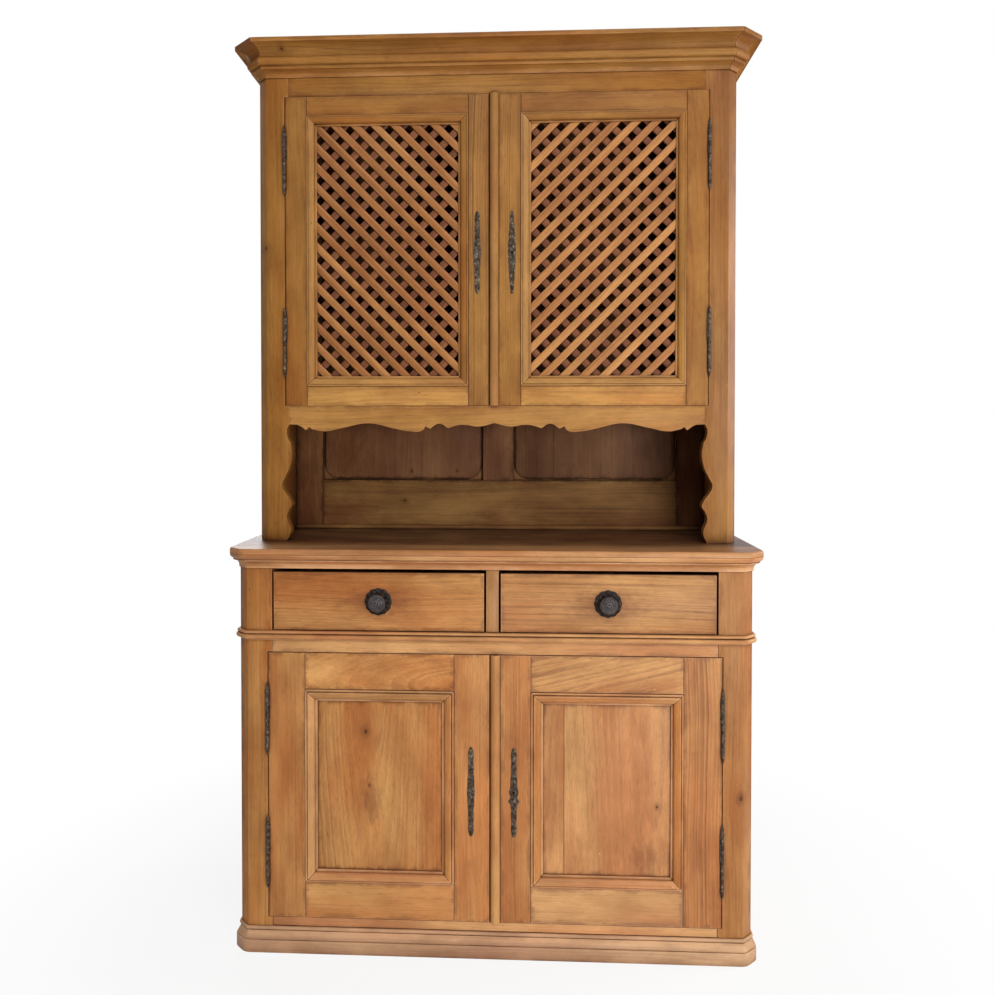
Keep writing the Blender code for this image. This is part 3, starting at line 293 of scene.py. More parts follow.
def srgb(red, green, blue):
    """A colour given as display values from 0 to 255, as the linear colour that shaders take."""
    linear = []
    for value in (red, green, blue):
        share = value / 255
        linear.append(share / 12.92 if share <= 0.04045 else ((share + 0.055) / 1.055) ** 2.4)
    return (*linear, 1.0)


def blend(first, second, share):
    """A colour between two linear colours."""
    return tuple(a + (b - a) * share for a, b in zip(first, second))


@dataclass
class Finish:
    """The colours, given as display values from 0 to 255, the wear, and the painted shade and highlight of
    one kind of pine.
    """
    slot: str
    light: tuple
    deep: tuple
    brown: tuple
    # The fourth colour is that of dirt and of painted shade, the fifth that of wear and of a painted
    # highlight
    grime: tuple
    worn: tuple
    grime_strength: float = 0.72
    edge_strength: float = 0.70
    corner_reach: float = 0.007
    haze_reach: float = 0.045
    wear_strength: float = 0.40
    roughness: float = 0.46
    specular: float = 0.20

    def __post_init__(self):
        for name in ("light", "deep", "brown", "grime", "worn"):
            setattr(self, name, srgb(*getattr(self, name)))


OUTSIDE = Finish(
    "pine", (199, 145, 86), (181, 114, 60), (118, 68, 34), (58, 31, 17), (226, 176, 132),
    wear_strength=0.55,
)
# The upper cabinet's pine, darker than the lower: partly its own colour, partly painted shade for the light
# that falls off towards the top
UPPER_OUTSIDE = Finish(
    "pine", (168, 119, 58), (151, 95, 41), (102, 57, 25), (46, 26, 12), (198, 145, 92),
    edge_strength=0.55, specular=0.14,
)
WORKTOP = Finish(
    "pine", (204, 154, 102), (184, 122, 72), (112, 66, 36), (46, 25, 14), (232, 186, 140),
    grime_strength=0.45, edge_strength=0.0, roughness=0.38, specular=0.12,
)
# The niche, its shelves and floor: darker pine, partly its own colour and partly painted shade where little
# light reaches
NICHE = Finish(
    "pine_inside", (128, 86, 53), (98, 57, 35), (58, 33, 20), (18, 10, 7), (134, 92, 60),
    grime_strength=0.90, corner_reach=0.030, haze_reach=0.11, wear_strength=0.10, roughness=0.55,
    specular=0.08,
)
NICHE_RAIL = Finish(
    "pine_inside", (152, 112, 64), (122, 80, 46), (70, 43, 24), (20, 11, 7), (150, 108, 66),
    grime_strength=0.90, corner_reach=0.014, haze_reach=0.07, wear_strength=0.10, roughness=0.55,
    specular=0.08,
)
INSIDE = Finish(
    "pine_inside", (158, 116, 74), (140, 94, 56), (98, 62, 34), (36, 22, 13), (180, 138, 96),
    wear_strength=0.15, roughness=0.60, specular=0.12,
)
FRONT_SLATS = Finish(
    "pine_lattice", (170, 115, 62), (154, 96, 48), (102, 58, 29), (32, 17, 9), (194, 142, 92),
)
REAR_SLATS = Finish("pine_lattice", (132, 78, 45), (110, 60, 34), (66, 36, 21), (14, 7, 4), (146, 96, 62))
DUST = srgb(173, 157, 142)
KNOT_COLOUR = srgb(66, 32, 17)
RUST_COLOUR = srgb(104, 54, 32)
# Colour of the painted shade on the worktop's top
TOP_SHADE_COLOUR = srgb(56, 28, 19)
# Colour of the wide, soft painted shade in closed-in places
WIDE_SHADE_COLOUR = srgb(142, 104, 76)
IRON_HOLLOW = srgb(20, 15, 12)
IRON_RUST = srgb(58, 40, 30)


@dataclass
class Look:
    """What sets one board apart from the other boards of its finish."""
    tone: float = 1.0
    pale: float = 0.0
    dusty: float = 0.0
    gloss: float = 1.0
    edge: float = 1.0
    rings: float = 0.28
    spacing: float = 0.006
    streaks: float = 0.24
    slant: tuple = (0, 0, 0)
    heart: tuple = None
    boards: tuple = None
    knots: tuple = ()
    stains: tuple = ()
    top_shade: float = 0.0


SIDE_BOARDS = (0.125, 0.0007, 0.0)
BACK_BOARDS = (0.160, 0.0010, 0.0)
FRONT_SLAT_BOARDS = (SLAT_PITCH, 0.00001, SLAT_PITCH / 2 + FRONT_SLAT_SHIFT)
REAR_SLAT_BOARDS = (SLAT_PITCH, 0.00001, SLAT_PITCH / 2 + REAR_SLAT_SHIFT)
LOOKS = {
    "lower_left_door_panel": Look(
        rings=0.42, spacing=0.010, streaks=0.14, slant=(0, 0.09, 0), heart=(0.010, 0.030),
        knots=(((-0.3078, -0.20, 0.5360), 0.0065), ((-0.2997, -0.20, 0.4054), 0.0030)),
        stains=(((-0.2959, -0.20, 0.3654), 0.030),),
    ),
    "lower_right_door_panel": Look(
        tone=1.18, dusty=0.10, rings=0.40, spacing=0.010, streaks=0.10, slant=(0, 0.07, 0),
        boards=(0.32, 0.0008, 0.1016), knots=(((0.3932, -0.20, 0.3667), 0.0040),),
        stains=(((0.3500, -0.20, 0.2380), 0.022), ((0.3780, -0.20, 0.2480), 0.018)),
    ),
    # Painted light and shade in tone and pale: the bottom runs of the door mouldings face up and are
    # lighter, the top runs darker, and the left runs lighter than the right runs
    "lower_left_door_moulding_bottom": Look(tone=1.16, pale=0.08, dusty=0.08, rings=0.12),
    "lower_left_door_moulding_left": Look(tone=1.04, dusty=0.08, rings=0.12),
    "lower_left_door_moulding_top": Look(tone=0.94, dusty=0.05),
    "lower_right_door_moulding_bottom": Look(tone=1.22, pale=0.08, dusty=0.10, rings=0.12),
    "lower_right_door_moulding_top": Look(tone=0.96, dusty=0.06),
    "lower_left_door_hinge_stile": Look(tone=0.89),
    "lower_left_door_lock_stile": Look(tone=1.10, dusty=0.03, rings=0.20),
    "lower_left_door_top_rail": Look(tone=1.20, pale=0.08, rings=0.50, spacing=0.010, slant=(0, 0.25, 0.03)),
    "lower_left_door_bottom_rail": Look(tone=1.08, pale=0.05, dusty=0.03, rings=0.12),
    "lower_right_door_hinge_stile": Look(
        tone=1.08, dusty=0.05, rings=1.0, spacing=0.0085, heart=(0.30, 0.02),
    ),
    "lower_right_door_lock_stile": Look(
        tone=1.09, dusty=0.04, rings=0.30, spacing=0.0070, heart=(0.25, 0.03),
    ),
    "lower_right_door_meeting_bead": Look(tone=0.97, dusty=0.04, edge=0.0, rings=0.12),
    "lower_right_door_top_rail": Look(
        tone=1.04, pale=0.08, dusty=0.07, rings=0.9, spacing=0.011, slant=(0, 0.10, 0.26),
        heart=(0.16, 0.05),
    ),
    "lower_right_door_bottom_rail": Look(tone=1.05, pale=0.06, dusty=0.14, rings=0.12),
    "left_drawer_front": Look(
        tone=0.92, rings=0.45, spacing=0.0075, slant=(0, 0.05, 0), heart=(0.12, 0.03),
        stains=(((-0.3180, -0.21, 0.8535), 0.016), ((-0.2730, -0.21, 0.8520), 0.046)),
    ),
    "right_drawer_front": Look(
        tone=0.89, pale=0.05, dusty=0.08, rings=0.80, spacing=0.0080, heart=(0.12, 0.03),
        stains=(((0.2730, -0.21, 0.8520), 0.046),),
    ),
    "drawer_divider": Look(tone=0.86, dusty=0.08, edge=0.3),
    "base_left_post": Look(tone=0.83, gloss=0.2),
    "base_right_post": Look(tone=0.70, knots=(((0.5896, -0.2067, 0.3942), 0.0065),)),
    "base_waist_rail": Look(tone=1.12, pale=0.05, dusty=0.10),
    "waist_moulding_front": Look(tone=1.26, dusty=0.07, edge=0.6),
    "base_floor_board": Look(tone=1.20, dusty=0.14, edge=0.0),
    "plinth_moulding_front": Look(tone=1.20, dusty=0.40, gloss=0.6, edge=0.25),
    "worktop_boards": Look(tone=1.05, dusty=0.06, boards=(0.19, 0.0006, 0.0), top_shade=0.90),
    "worktop_moulding_front": Look(tone=0.96, dusty=0.05),
    "upper_left_post": Look(tone=0.94, gloss=0.6, knots=(((-0.5884, -0.0657, 1.7349), 0.0065),)),
    # Painted light in tone and pale: as on the lower doors, the bottom and left runs of the upper door
    # mouldings are lighter
    "upper_left_door_moulding_bottom": Look(tone=1.22, pale=0.06, dusty=0.04),
    "upper_left_door_moulding_left": Look(tone=1.18, pale=0.05, dusty=0.04),
    "upper_left_door_moulding_right": Look(tone=1.06),
    "upper_right_door_moulding_bottom": Look(tone=1.24, pale=0.06, dusty=0.04),
    "upper_right_door_moulding_left": Look(tone=1.34, pale=0.08, dusty=0.08),
    "upper_right_door_moulding_right": Look(tone=1.08),
    "upper_left_door_hinge_stile": Look(tone=0.96),
    "upper_left_door_lock_stile": Look(tone=0.94, dusty=0.02, rings=0.75, spacing=0.007, heart=(0.30, 0.02)),
    "upper_left_door_top_rail": Look(tone=1.02),
    # Painted light: the upper doors' bottom rails are much lighter than their top rails
    "upper_left_door_bottom_rail": Look(tone=1.46, pale=0.05, dusty=0.03),
    "upper_right_post": Look(tone=0.87, gloss=1.3),
    "upper_right_door_hinge_stile": Look(tone=1.07),
    "upper_right_door_lock_stile": Look(tone=0.92, rings=0.45, spacing=0.008, heart=(0.28, 0.02)),
    # Painted highlight: the roll of the upper meeting bead is lighter all over
    "upper_right_door_meeting_bead": Look(tone=1.14, pale=0.06, dusty=0.06, edge=0.0, rings=0.12),
    "upper_right_door_top_rail": Look(tone=0.92),
    # Painted light: lighter than this door's top rail
    "upper_right_door_bottom_rail": Look(tone=1.68, pale=0.08, dusty=0.02),
    "upper_left_door_front_slats": Look(tone=1.14, rings=0.35, spacing=0.005, boards=FRONT_SLAT_BOARDS),
    "upper_right_door_front_slats": Look(tone=1.32, rings=0.35, spacing=0.005, boards=FRONT_SLAT_BOARDS),
    "upper_left_door_rear_slats": Look(boards=REAR_SLAT_BOARDS),
    "upper_right_door_rear_slats": Look(tone=1.10, boards=REAR_SLAT_BOARDS),
    "scalloped_apron": Look(tone=1.30, dusty=0.03),
    "frieze_rail": Look(tone=0.88, gloss=0.7),
    "upper_back_left_stile": Look(tone=1.40, stains=(((-0.5500, 0.221, 1.0400), 0.070),)),
    "upper_back_right_stile": Look(tone=1.15),
    "upper_back_muntin": Look(tone=1.62, dusty=0.02),
    "upper_back_left_field": Look(
        tone=1.40, dusty=0.02,
        knots=(((-0.2500, 0.225, 1.1480), 0.0040), ((-0.1180, 0.225, 1.1500), 0.0040)),
        stains=(((-0.4300, 0.225, 1.2000), 0.060),),
    ),
    "upper_back_right_field": Look(tone=0.98, dusty=0.06, boards=(0.62, 0.0007, 0.1156)),
    "upper_back_bottom_rail": Look(
        rings=0.40, streaks=0.45, knots=(((-0.2684, 0.221, 1.0639), 0.0050),),
        stains=(((-0.4600, 0.221, 1.0250), 0.060), ((-0.0150, 0.221, 1.0200), 0.020)),
    ),
    "cornice_moulding_front": Look(rings=0.55, knots=(((-0.5370, -0.115, 2.2292), 0.004),)),
    "cornice_moulding_left_cant": Look(tone=0.94, gloss=0.3),
    "cornice_moulding_right_cant": Look(tone=0.95, gloss=0.5),
    "upper_top_board": Look(tone=0.85, dusty=0.15, boards=SIDE_BOARDS),
    "base_back_panel": Look(tone=0.90, rings=0.40, boards=BACK_BOARDS),
    "upper_back_panel": Look(tone=1.10, rings=0.40, boards=BACK_BOARDS),
}
for side_name in SIDES:
    LOOKS[f"cornice_moulding_{side_name}_side"] = Look(gloss=0.05)
    LOOKS[f"base_{side_name}_side"] = Look(tone=0.92, boards=SIDE_BOARDS)
    LOOKS[f"upper_{side_name}_side"] = Look(boards=SIDE_BOARDS)


class NodeMaker:
    """Short calls that add nodes to a tree and link them."""

    def __init__(self, tree):
        self.tree = tree

    def add(self, kind, inputs=None, **settings):
        node = self.tree.nodes.new(kind)
        for name, value in settings.items():
            setattr(node, name, value)
        for key, value in (inputs or {}).items():
            self.feed(node.inputs[key], value)
        return node

    def feed(self, socket, value):
        if isinstance(value, bpy.types.NodeSocket):
            self.tree.links.new(value, socket)
        elif isinstance(value, bpy.types.Node):
            self.tree.links.new(value.outputs[0], socket)
        else:
            socket.default_value = value

    def group(self, node_tree, inputs):
        return self.add("ShaderNodeGroup", inputs, node_tree=node_tree)

    def math(self, operation, first, second=0.0, third=0.0, clamp=False):
        inputs = {0: first, 1: second, 2: third}
        return self.add("ShaderNodeMath", inputs, operation=operation, use_clamp=clamp).outputs[0]

    def times(self, first, second, clamp=False):
        return self.math("MULTIPLY", first, second, clamp=clamp)

    def vector(self, operation, first, second=(0, 0, 0)):
        node = self.add("ShaderNodeVectorMath", {0: first, 1: second}, operation=operation)
        return node.outputs["Value" if operation == "LENGTH" else "Vector"]

    def remap(self, value, low, high, to_low=0.0, to_high=1.0):
        inputs = {"Value": value, "From Min": low, "From Max": high, "To Min": to_low, "To Max": to_high}
        return self.add("ShaderNodeMapRange", inputs, interpolation_type="SMOOTHSTEP").outputs["Result"]

    def mix(self, factor, first, second, mode="MIX"):
        """Two colours mixed; by number, because the node has sockets of the same names for other types."""
        inputs = {0: factor, 6: first, 7: second}
        node = self.add("ShaderNodeMix", inputs, data_type="RGBA", blend_type=mode, clamp_factor=True)
        return node.outputs[2]

    def noise(self, vector, scale, detail=2.0, roughness=0.5, shift=None, output="Fac"):
        if shift:
            vector = self.vector("ADD", vector, shift)
        stretched = self.vector("MULTIPLY", vector, scale)
        inputs = {"Vector": stretched, "Scale": 1.0, "Detail": detail, "Roughness": roughness}
        return self.add("ShaderNodeTexNoise", inputs).outputs[output]

    def closeness(self, reach, inside=False):
        """How open the surface is within a reach, or with inside, how thick the piece is there."""
        settings = {"samples": CLOSENESS_SAMPLES, "inside": inside, "only_local": inside}
        return self.add("ShaderNodeAmbientOcclusion", {"Distance": reach}, **settings).outputs["AO"]


def new_group(name, inputs, outputs):
    """An empty shader node group with named sockets; returns it with its maker and its two end nodes."""
    group = bpy.data.node_groups.new(name, "ShaderNodeTree")
    for direction, sockets in (("INPUT", inputs), ("OUTPUT", outputs)):
        for socket_name, kind in sockets:
            group.interface.new_socket(socket_name, in_out=direction, socket_type="NodeSocket" + kind)
    maker = NodeMaker(group)
    return group, maker, maker.add("NodeGroupInput"), maker.add("NodeGroupOutput")


def frayed_distance(make, start, squash, strength, *fray):
    """The way from a mark's place, and its length in radii of the mark, frayed by a noise."""
    away = make.vector("SUBTRACT", start.outputs["Vector"], start.outputs["Place"])
    flat = make.vector("MULTIPLY", away, squash)
    distance = make.math("DIVIDE", make.vector("LENGTH", flat), start.outputs["Radius"])
    swing = make.math("SUBTRACT", make.noise(start.outputs["Vector"], *fray), 0.5)
    return away, make.math("MULTIPLY_ADD", swing, strength, distance)


def make_knot_group():
    """Bends the grain round one knot and gives the knot's dark heart with a soft ring round it."""
    inputs = [("Vector", "Vector"), ("Place", "Vector"), ("Radius", "Float"), ("Core", "Float")]
    group, make, start, end = new_group("pine_knot", inputs, [("Vector", "Vector"), ("Core", "Float")])
    away, distance = frayed_distance(make, start, (1.0, 0.0, 0.70), 0.7, (300.0, 300.0, 300.0))
    spread = make.times(distance, make.times(distance, -0.16))
    pull = make.math("EXPONENT", spread)
    shift = make.vector("MULTIPLY", away, make.add("ShaderNodeCombineXYZ", {0: pull}))
    make.feed(end.inputs["Vector"], make.vector("SUBTRACT", start.outputs["Vector"], shift))
    heart = make.remap(distance, 0.45, 1.0, 0.85, 0.0)
    halo = make.remap(distance, 0.8, 2.8, 0.30, 0.0)
    core = make.math("MAXIMUM", heart, halo)
    make.feed(end.inputs["Core"], make.math("MAXIMUM", core, start.outputs["Core"]))
    return group


def make_stain_group():
    """A soft blotch round a place, frayed along the grain."""
    inputs = [("Vector", "Vector"), ("Place", "Vector"), ("Radius", "Float"), ("Rust", "Float")]
    group, make, start, end = new_group("pine_stain", inputs, [("Rust", "Float")])
    _, distance = frayed_distance(make, start, (1.0, 0.0, 0.45), 1.8, (110.0, 110.0, 40.0), 3.0, 0.65)
    blotch = make.remap(distance, 0.10, 1.25, 0.46, 0.0)
    make.feed(end.inputs["Rust"], make.math("MAXIMUM", blotch, start.outputs["Rust"]))
    return group


def make_boards_group():
    """Splits a width into boards, each with its own grain and tone, and gives the joint lines."""
    inputs = [("Vector", "Vector"), ("Width", "Float"), ("Line", "Float"), ("Offset", "Float")]
    outputs = [("Vector", "Vector"), ("Tone", "Float"), ("Joint", "Float")]
    group, make, start, end = new_group("pine_boards", inputs, outputs)
    width = start.outputs["Width"]
    parts = make.add("ShaderNodeSeparateXYZ", {0: start.outputs["Vector"]})
    place = make.math("ADD", parts.outputs["X"], start.outputs["Offset"])
    number = make.math("FLOOR", make.math("DIVIDE", place, width))
    chance = make.add("ShaderNodeTexWhiteNoise", {"W": number}, noise_dimensions="1D").outputs["Value"]
    across = make.math("SUBTRACT", place, make.times(make.math("ADD", number, 0.5), width))
    heart = make.math("MULTIPLY_ADD", chance, 0.10, make.math("SUBTRACT", across, 0.05))
    along = make.math("MULTIPLY_ADD", chance, 7.0, parts.outputs["Z"])
    moved = make.add("ShaderNodeCombineXYZ", {0: heart, 1: parts.outputs["Y"], 2: along})
    make.feed(end.inputs["Vector"], moved)
    make.feed(end.inputs["Tone"], make.math("MULTIPLY_ADD", chance, 0.12, 0.94))
    edge = make.math("SUBTRACT", make.times(width, 0.5), make.math("ABSOLUTE", across))
    line = start.outputs["Line"]
    make.feed(end.inputs["Joint"], make.remap(edge, 0.0, make.times(line, 2.0), 0.8, 0.0))
    return group


def make_pine_group():
    """Waxed pine: growth rings, streaks, fibres, blotches, worm holes, dirt and painted shade, and arrises
    with wear and a painted highlight.
    """
    values = (
        "Spacing", "Rings", "Streaks", "Tone", "Pale", "Core", "Rust", "Top shade", "Grime strength",
        "Corner reach", "Haze reach", "Wear strength", "Roughness", "Edge", "Edge strength",
    )
    inputs = [("Vector", "Vector")]
    inputs += [(name, "Color") for name in ("Light", "Deep", "Brown", "Grime", "Worn")]
    inputs += [(name, "Float") for name in values]
    outputs = [("Color", "Color"), ("Roughness", "Float"), ("Height", "Float")]
    group, make, start, end = new_group("waxed_pine", inputs, outputs)
    given = start.outputs
    grain = given["Vector"]

    # The heart of the tree wanders along the board, which draws the arches of flat-sawn pine
    wander = make.noise(grain, (1.8, 1.8, 1.2), 1.0, output="Color")
    wander = make.vector("MULTIPLY", make.vector("SUBTRACT", wander, (0.5, 0.5, 0.5)), (0.06, 0.09, 0.0))
    ripple = make.noise(grain, (28.0, 28.0, 6.0), 3.0, output="Color")
    ripple = make.vector("MULTIPLY", make.vector("SUBTRACT", ripple, (0.5, 0.5, 0.5)), (0.008, 0.008, 0.0))
    bent = make.vector("ADD", make.vector("ADD", grain, wander), ripple)
    radius = make.vector("LENGTH", make.vector("MULTIPLY", bent, (1.0, 1.0, 0.0)))
    spell = make.noise(make.add("ShaderNodeCombineXYZ", {0: radius}), (30.0, 0.0, 0.0), 2.0)
    phase = make.math("MULTIPLY_ADD", spell, 4.0, make.math("DIVIDE", radius, given["Spacing"]))
    year = make.add("ShaderNodeTexWhiteNoise", {"W": make.math("FLOOR", phase)}, noise_dimensions="1D")
    season = make.math("FRACT", phase)
    latewood = make.times(make.remap(season, 0.10, 0.85), make.remap(season, 0.88, 1.0, 1.0, 0.0))
    latewood = make.times(latewood, make.math("MULTIPLY_ADD", year.outputs["Value"], 0.85, 0.15))
    shown = make.noise(grain, (7.0, 7.0, 1.4), 2.0, shift=(1.3, 4.2, 0.9))
    latewood = make.times(latewood, make.remap(shown, 0.32, 0.66, 0.25, 1.0))

    cloud = make.noise(grain, (8.0, 8.0, 1.5), 3.0, 0.55, (3.1, 1.7, 0.4))
    patch = make.noise(grain, (15.0, 15.0, 7.0), 4.0, 0.60, (0.7, 2.9, 1.1))
    streak = make.noise(grain, (62.0, 62.0, 1.3), 3.0, 0.60)
    smudge = make.noise(grain, (5.0, 5.0, 2.6), 5.0, 0.66, (5.3, 0.6, 2.2))
    thread = make.noise(grain, (170.0, 170.0, 1.1), 2.0, 0.50, (2.4, 3.3, 0.1))
    fibre = make.noise(grain, (400.0, 400.0, 9.0), 2.0, 0.60)
    fleck = make.noise(grain, (520.0, 520.0, 42.0), 1.0, 0.50, (0.2, 0.5, 0.8))
    slanted = make.add("ShaderNodeMapping", {"Vector": grain, "Rotation": (0.0, 0.5, 0.0)}).outputs["Vector"]
    scratch = make.remap(make.noise(slanted, (300.0, 300.0, 12.0), 2.0), 0.69, 0.76)

    cloud = make.remap(make.math("SUBTRACT", cloud, given["Pale"]), 0.34, 0.66)
    colour = make.mix(cloud, given["Light"], given["Deep"])
    share = make.times(latewood, given["Rings"])
    share = make.math("ADD", share, make.remap(streak, 0.50, 0.80, 0.0, given["Streaks"]))
    share = make.math("ADD", share, make.remap(thread, 0.63, 0.71, 0.0, given["Streaks"]))
    share = make.math("ADD", share, make.remap(fleck, 0.60, 0.74, 0.0, 0.30), clamp=True)
    colour = make.mix(share, colour, given["Brown"])
    shade = make.times(make.remap(patch, 0.30, 0.74, 1.08, 0.78), given["Tone"])
    shade = make.times(shade, make.remap(smudge, 0.30, 0.72, 1.08, 0.82))
    shade = make.times(shade, make.remap(fibre, 0.25, 0.75, 0.90, 1.09))
    shade = make.times(shade, make.remap(streak, 0.18, 0.50, 1.08, 1.0))
    red, blue = (make.math("POWER", shade, power) for power in (SHADE_RED_POWER, SHADE_BLUE_POWER))
    warm = make.add("ShaderNodeCombineXYZ", {0: red, 1: shade, 2: blue})
    colour = make.mix(1.0, colour, warm, "MULTIPLY")
    colour = make.mix(make.times(scratch, 0.28), colour, given["Brown"])

    # Sparse worm holes, then knots, rust, and painted shade on the worktop's top, darkest in a painted
    # shadow under the upper cabinet
    cells = make.vector("MULTIPLY", grain, (30.0, 30.0, 19.0))
    cells = make.add("ShaderNodeTexVoronoi", {"Vector": cells, "Scale": 1.0})
    lots = make.add("ShaderNodeSeparateColor", {0: cells.outputs["Color"]}).outputs
    hole = make.remap(cells.outputs["Distance"], 0.03, 0.055, 1.0, 0.0)
    hole = make.times(hole, make.math("GREATER_THAN", lots["Red"], 0.94))
    colour = make.mix(make.times(hole, 0.75), colour, given["Grime"])
    nick = make.remap(cells.outputs["Distance"], 0.03, 0.08, 1.0, 0.0)
    nick = make.times(nick, make.math("GREATER_THAN", lots["Green"], 0.90))
    colour = make.mix(make.times(nick, given["Wear strength"]), colour, given["Worn"])
    colour = make.mix(given["Rust"], colour, RUST_COLOUR)
    colour = make.mix(given["Core"], colour, KNOT_COLOUR)
    shadowed = make.times(given["Top shade"], make.remap(patch, 0.28, 0.70, 0.85, 1.05))
    colour = make.mix(shadowed, colour, TOP_SHADE_COLOUR)

    # Old wax and dirt gather along the edges of a board, in smears
    smear = make.noise(grain, (34.0, 34.0, 13.0), 4.0, 0.68, (1.9, 0.3, 3.7))
    reach = make.remap(smear, 0.36, 0.68, EDGE_DIRT_NARROW, EDGE_DIRT_WIDE)
    dirt = make.remap(given["Edge"], 0.0, reach, 1.0, 0.0)
    dirt = make.times(make.times(dirt, dirt), make.remap(smear, 0.34, 0.58, 0.25, 1.0))
    colour = make.mix(make.times(dirt, given["Edge strength"]), colour, given["Brown"])

    # Arrises paler: partly wear, partly a painted highlight on the rounded edges
    arris = make.remap(make.closeness(ARRIS_WEAR_AND_HIGHLIGHT_REACH, inside=True), 0.45, 0.85, 1.0, 0.0)
    arris = make.times(arris, make.remap(patch, 0.35, 0.62, 1.0, 0.30))
    colour = make.mix(make.times(arris, given["Wear strength"]), colour, given["Worn"])
    # Wide, soft painted shade where the surface is closed in, standing partly for dirt as well
    wide_shade = make.remap(make.closeness(given["Haze reach"]), 0.20, 0.90, 0.75, 0.0)
    wide_shade = make.times(wide_shade, make.remap(patch, 0.30, 0.70, 0.70, 1.15))
    colour = make.mix(wide_shade, colour, WIDE_SHADE_COLOUR, "MULTIPLY")
    # Dirt and painted shade in corners, creases and gaps, where the surface is closed in nearby
    corner = make.remap(make.closeness(given["Corner reach"]), 0.25, 0.85, 1.0, 0.0)
    corner = make.times(corner, make.remap(patch, 0.38, 0.60, 0.40, 1.38), clamp=True)
    colour = make.mix(make.times(corner, given["Grime strength"]), colour, given["Grime"])

    rough = make.math("MULTIPLY_ADD", patch, 0.18, make.math("SUBTRACT", given["Roughness"], 0.09))
    rough = make.math("MULTIPLY_ADD", corner, 0.25, rough, clamp=True)
    height = make.math("MULTIPLY_ADD", latewood, 0.4, make.times(fibre, 0.6))
    height = make.math("SUBTRACT", height, make.math("ADD", scratch, hole))
    make.feed(end.inputs["Color"], colour)
    make.feed(end.inputs["Roughness"], rough)
    make.feed(end.inputs["Height"], height)
    return group


KNOT_GROUP = make_knot_group()
STAIN_GROUP = make_stain_group()
BOARDS_GROUP = make_boards_group()
PINE_GROUP = make_pine_group()


def new_material(name):
    """An empty material with the maker of its nodes."""
    material = bpy.data.materials.new(name)
    material.use_nodes = True
    material.node_tree.nodes.clear()
    return material, NodeMaker(material.node_tree)


def finish_material(make, colour, roughness, height, bump_strength, bump_distance, constants):
    """Join colour, roughness and relief to a shader whose other values are constants on its own sockets."""
    relief = {"Height": height, "Strength": bump_strength, "Distance": bump_distance}
    bump = make.add("ShaderNodeBump", relief)
    inputs = {"Base Color": colour, "Roughness": roughness, "Normal": bump.outputs["Normal"], **constants}
    shader = make.add("ShaderNodeBsdfPrincipled", inputs)
    make.add("ShaderNodeOutputMaterial", {"Surface": shader.outputs["BSDF"]})


def edge_distance(make, coordinates, low, high):
    """How far a point on a board lies from the nearest edge of the board's two longer directions."""
    middle, half = (low + high) / 2, (high - low) / 2
    parts = make.add("ShaderNodeSeparateXYZ", {0: coordinates})
    distances = []
    for axis in sorted(range(3), key=lambda axis: half[axis])[1:]:
        away = make.math("ABSOLUTE", make.math("SUBTRACT", parts.outputs[axis], middle[axis]))
        distances.append(make.math("SUBTRACT", half[axis], away))
    return make.math("MINIMUM", *distances)


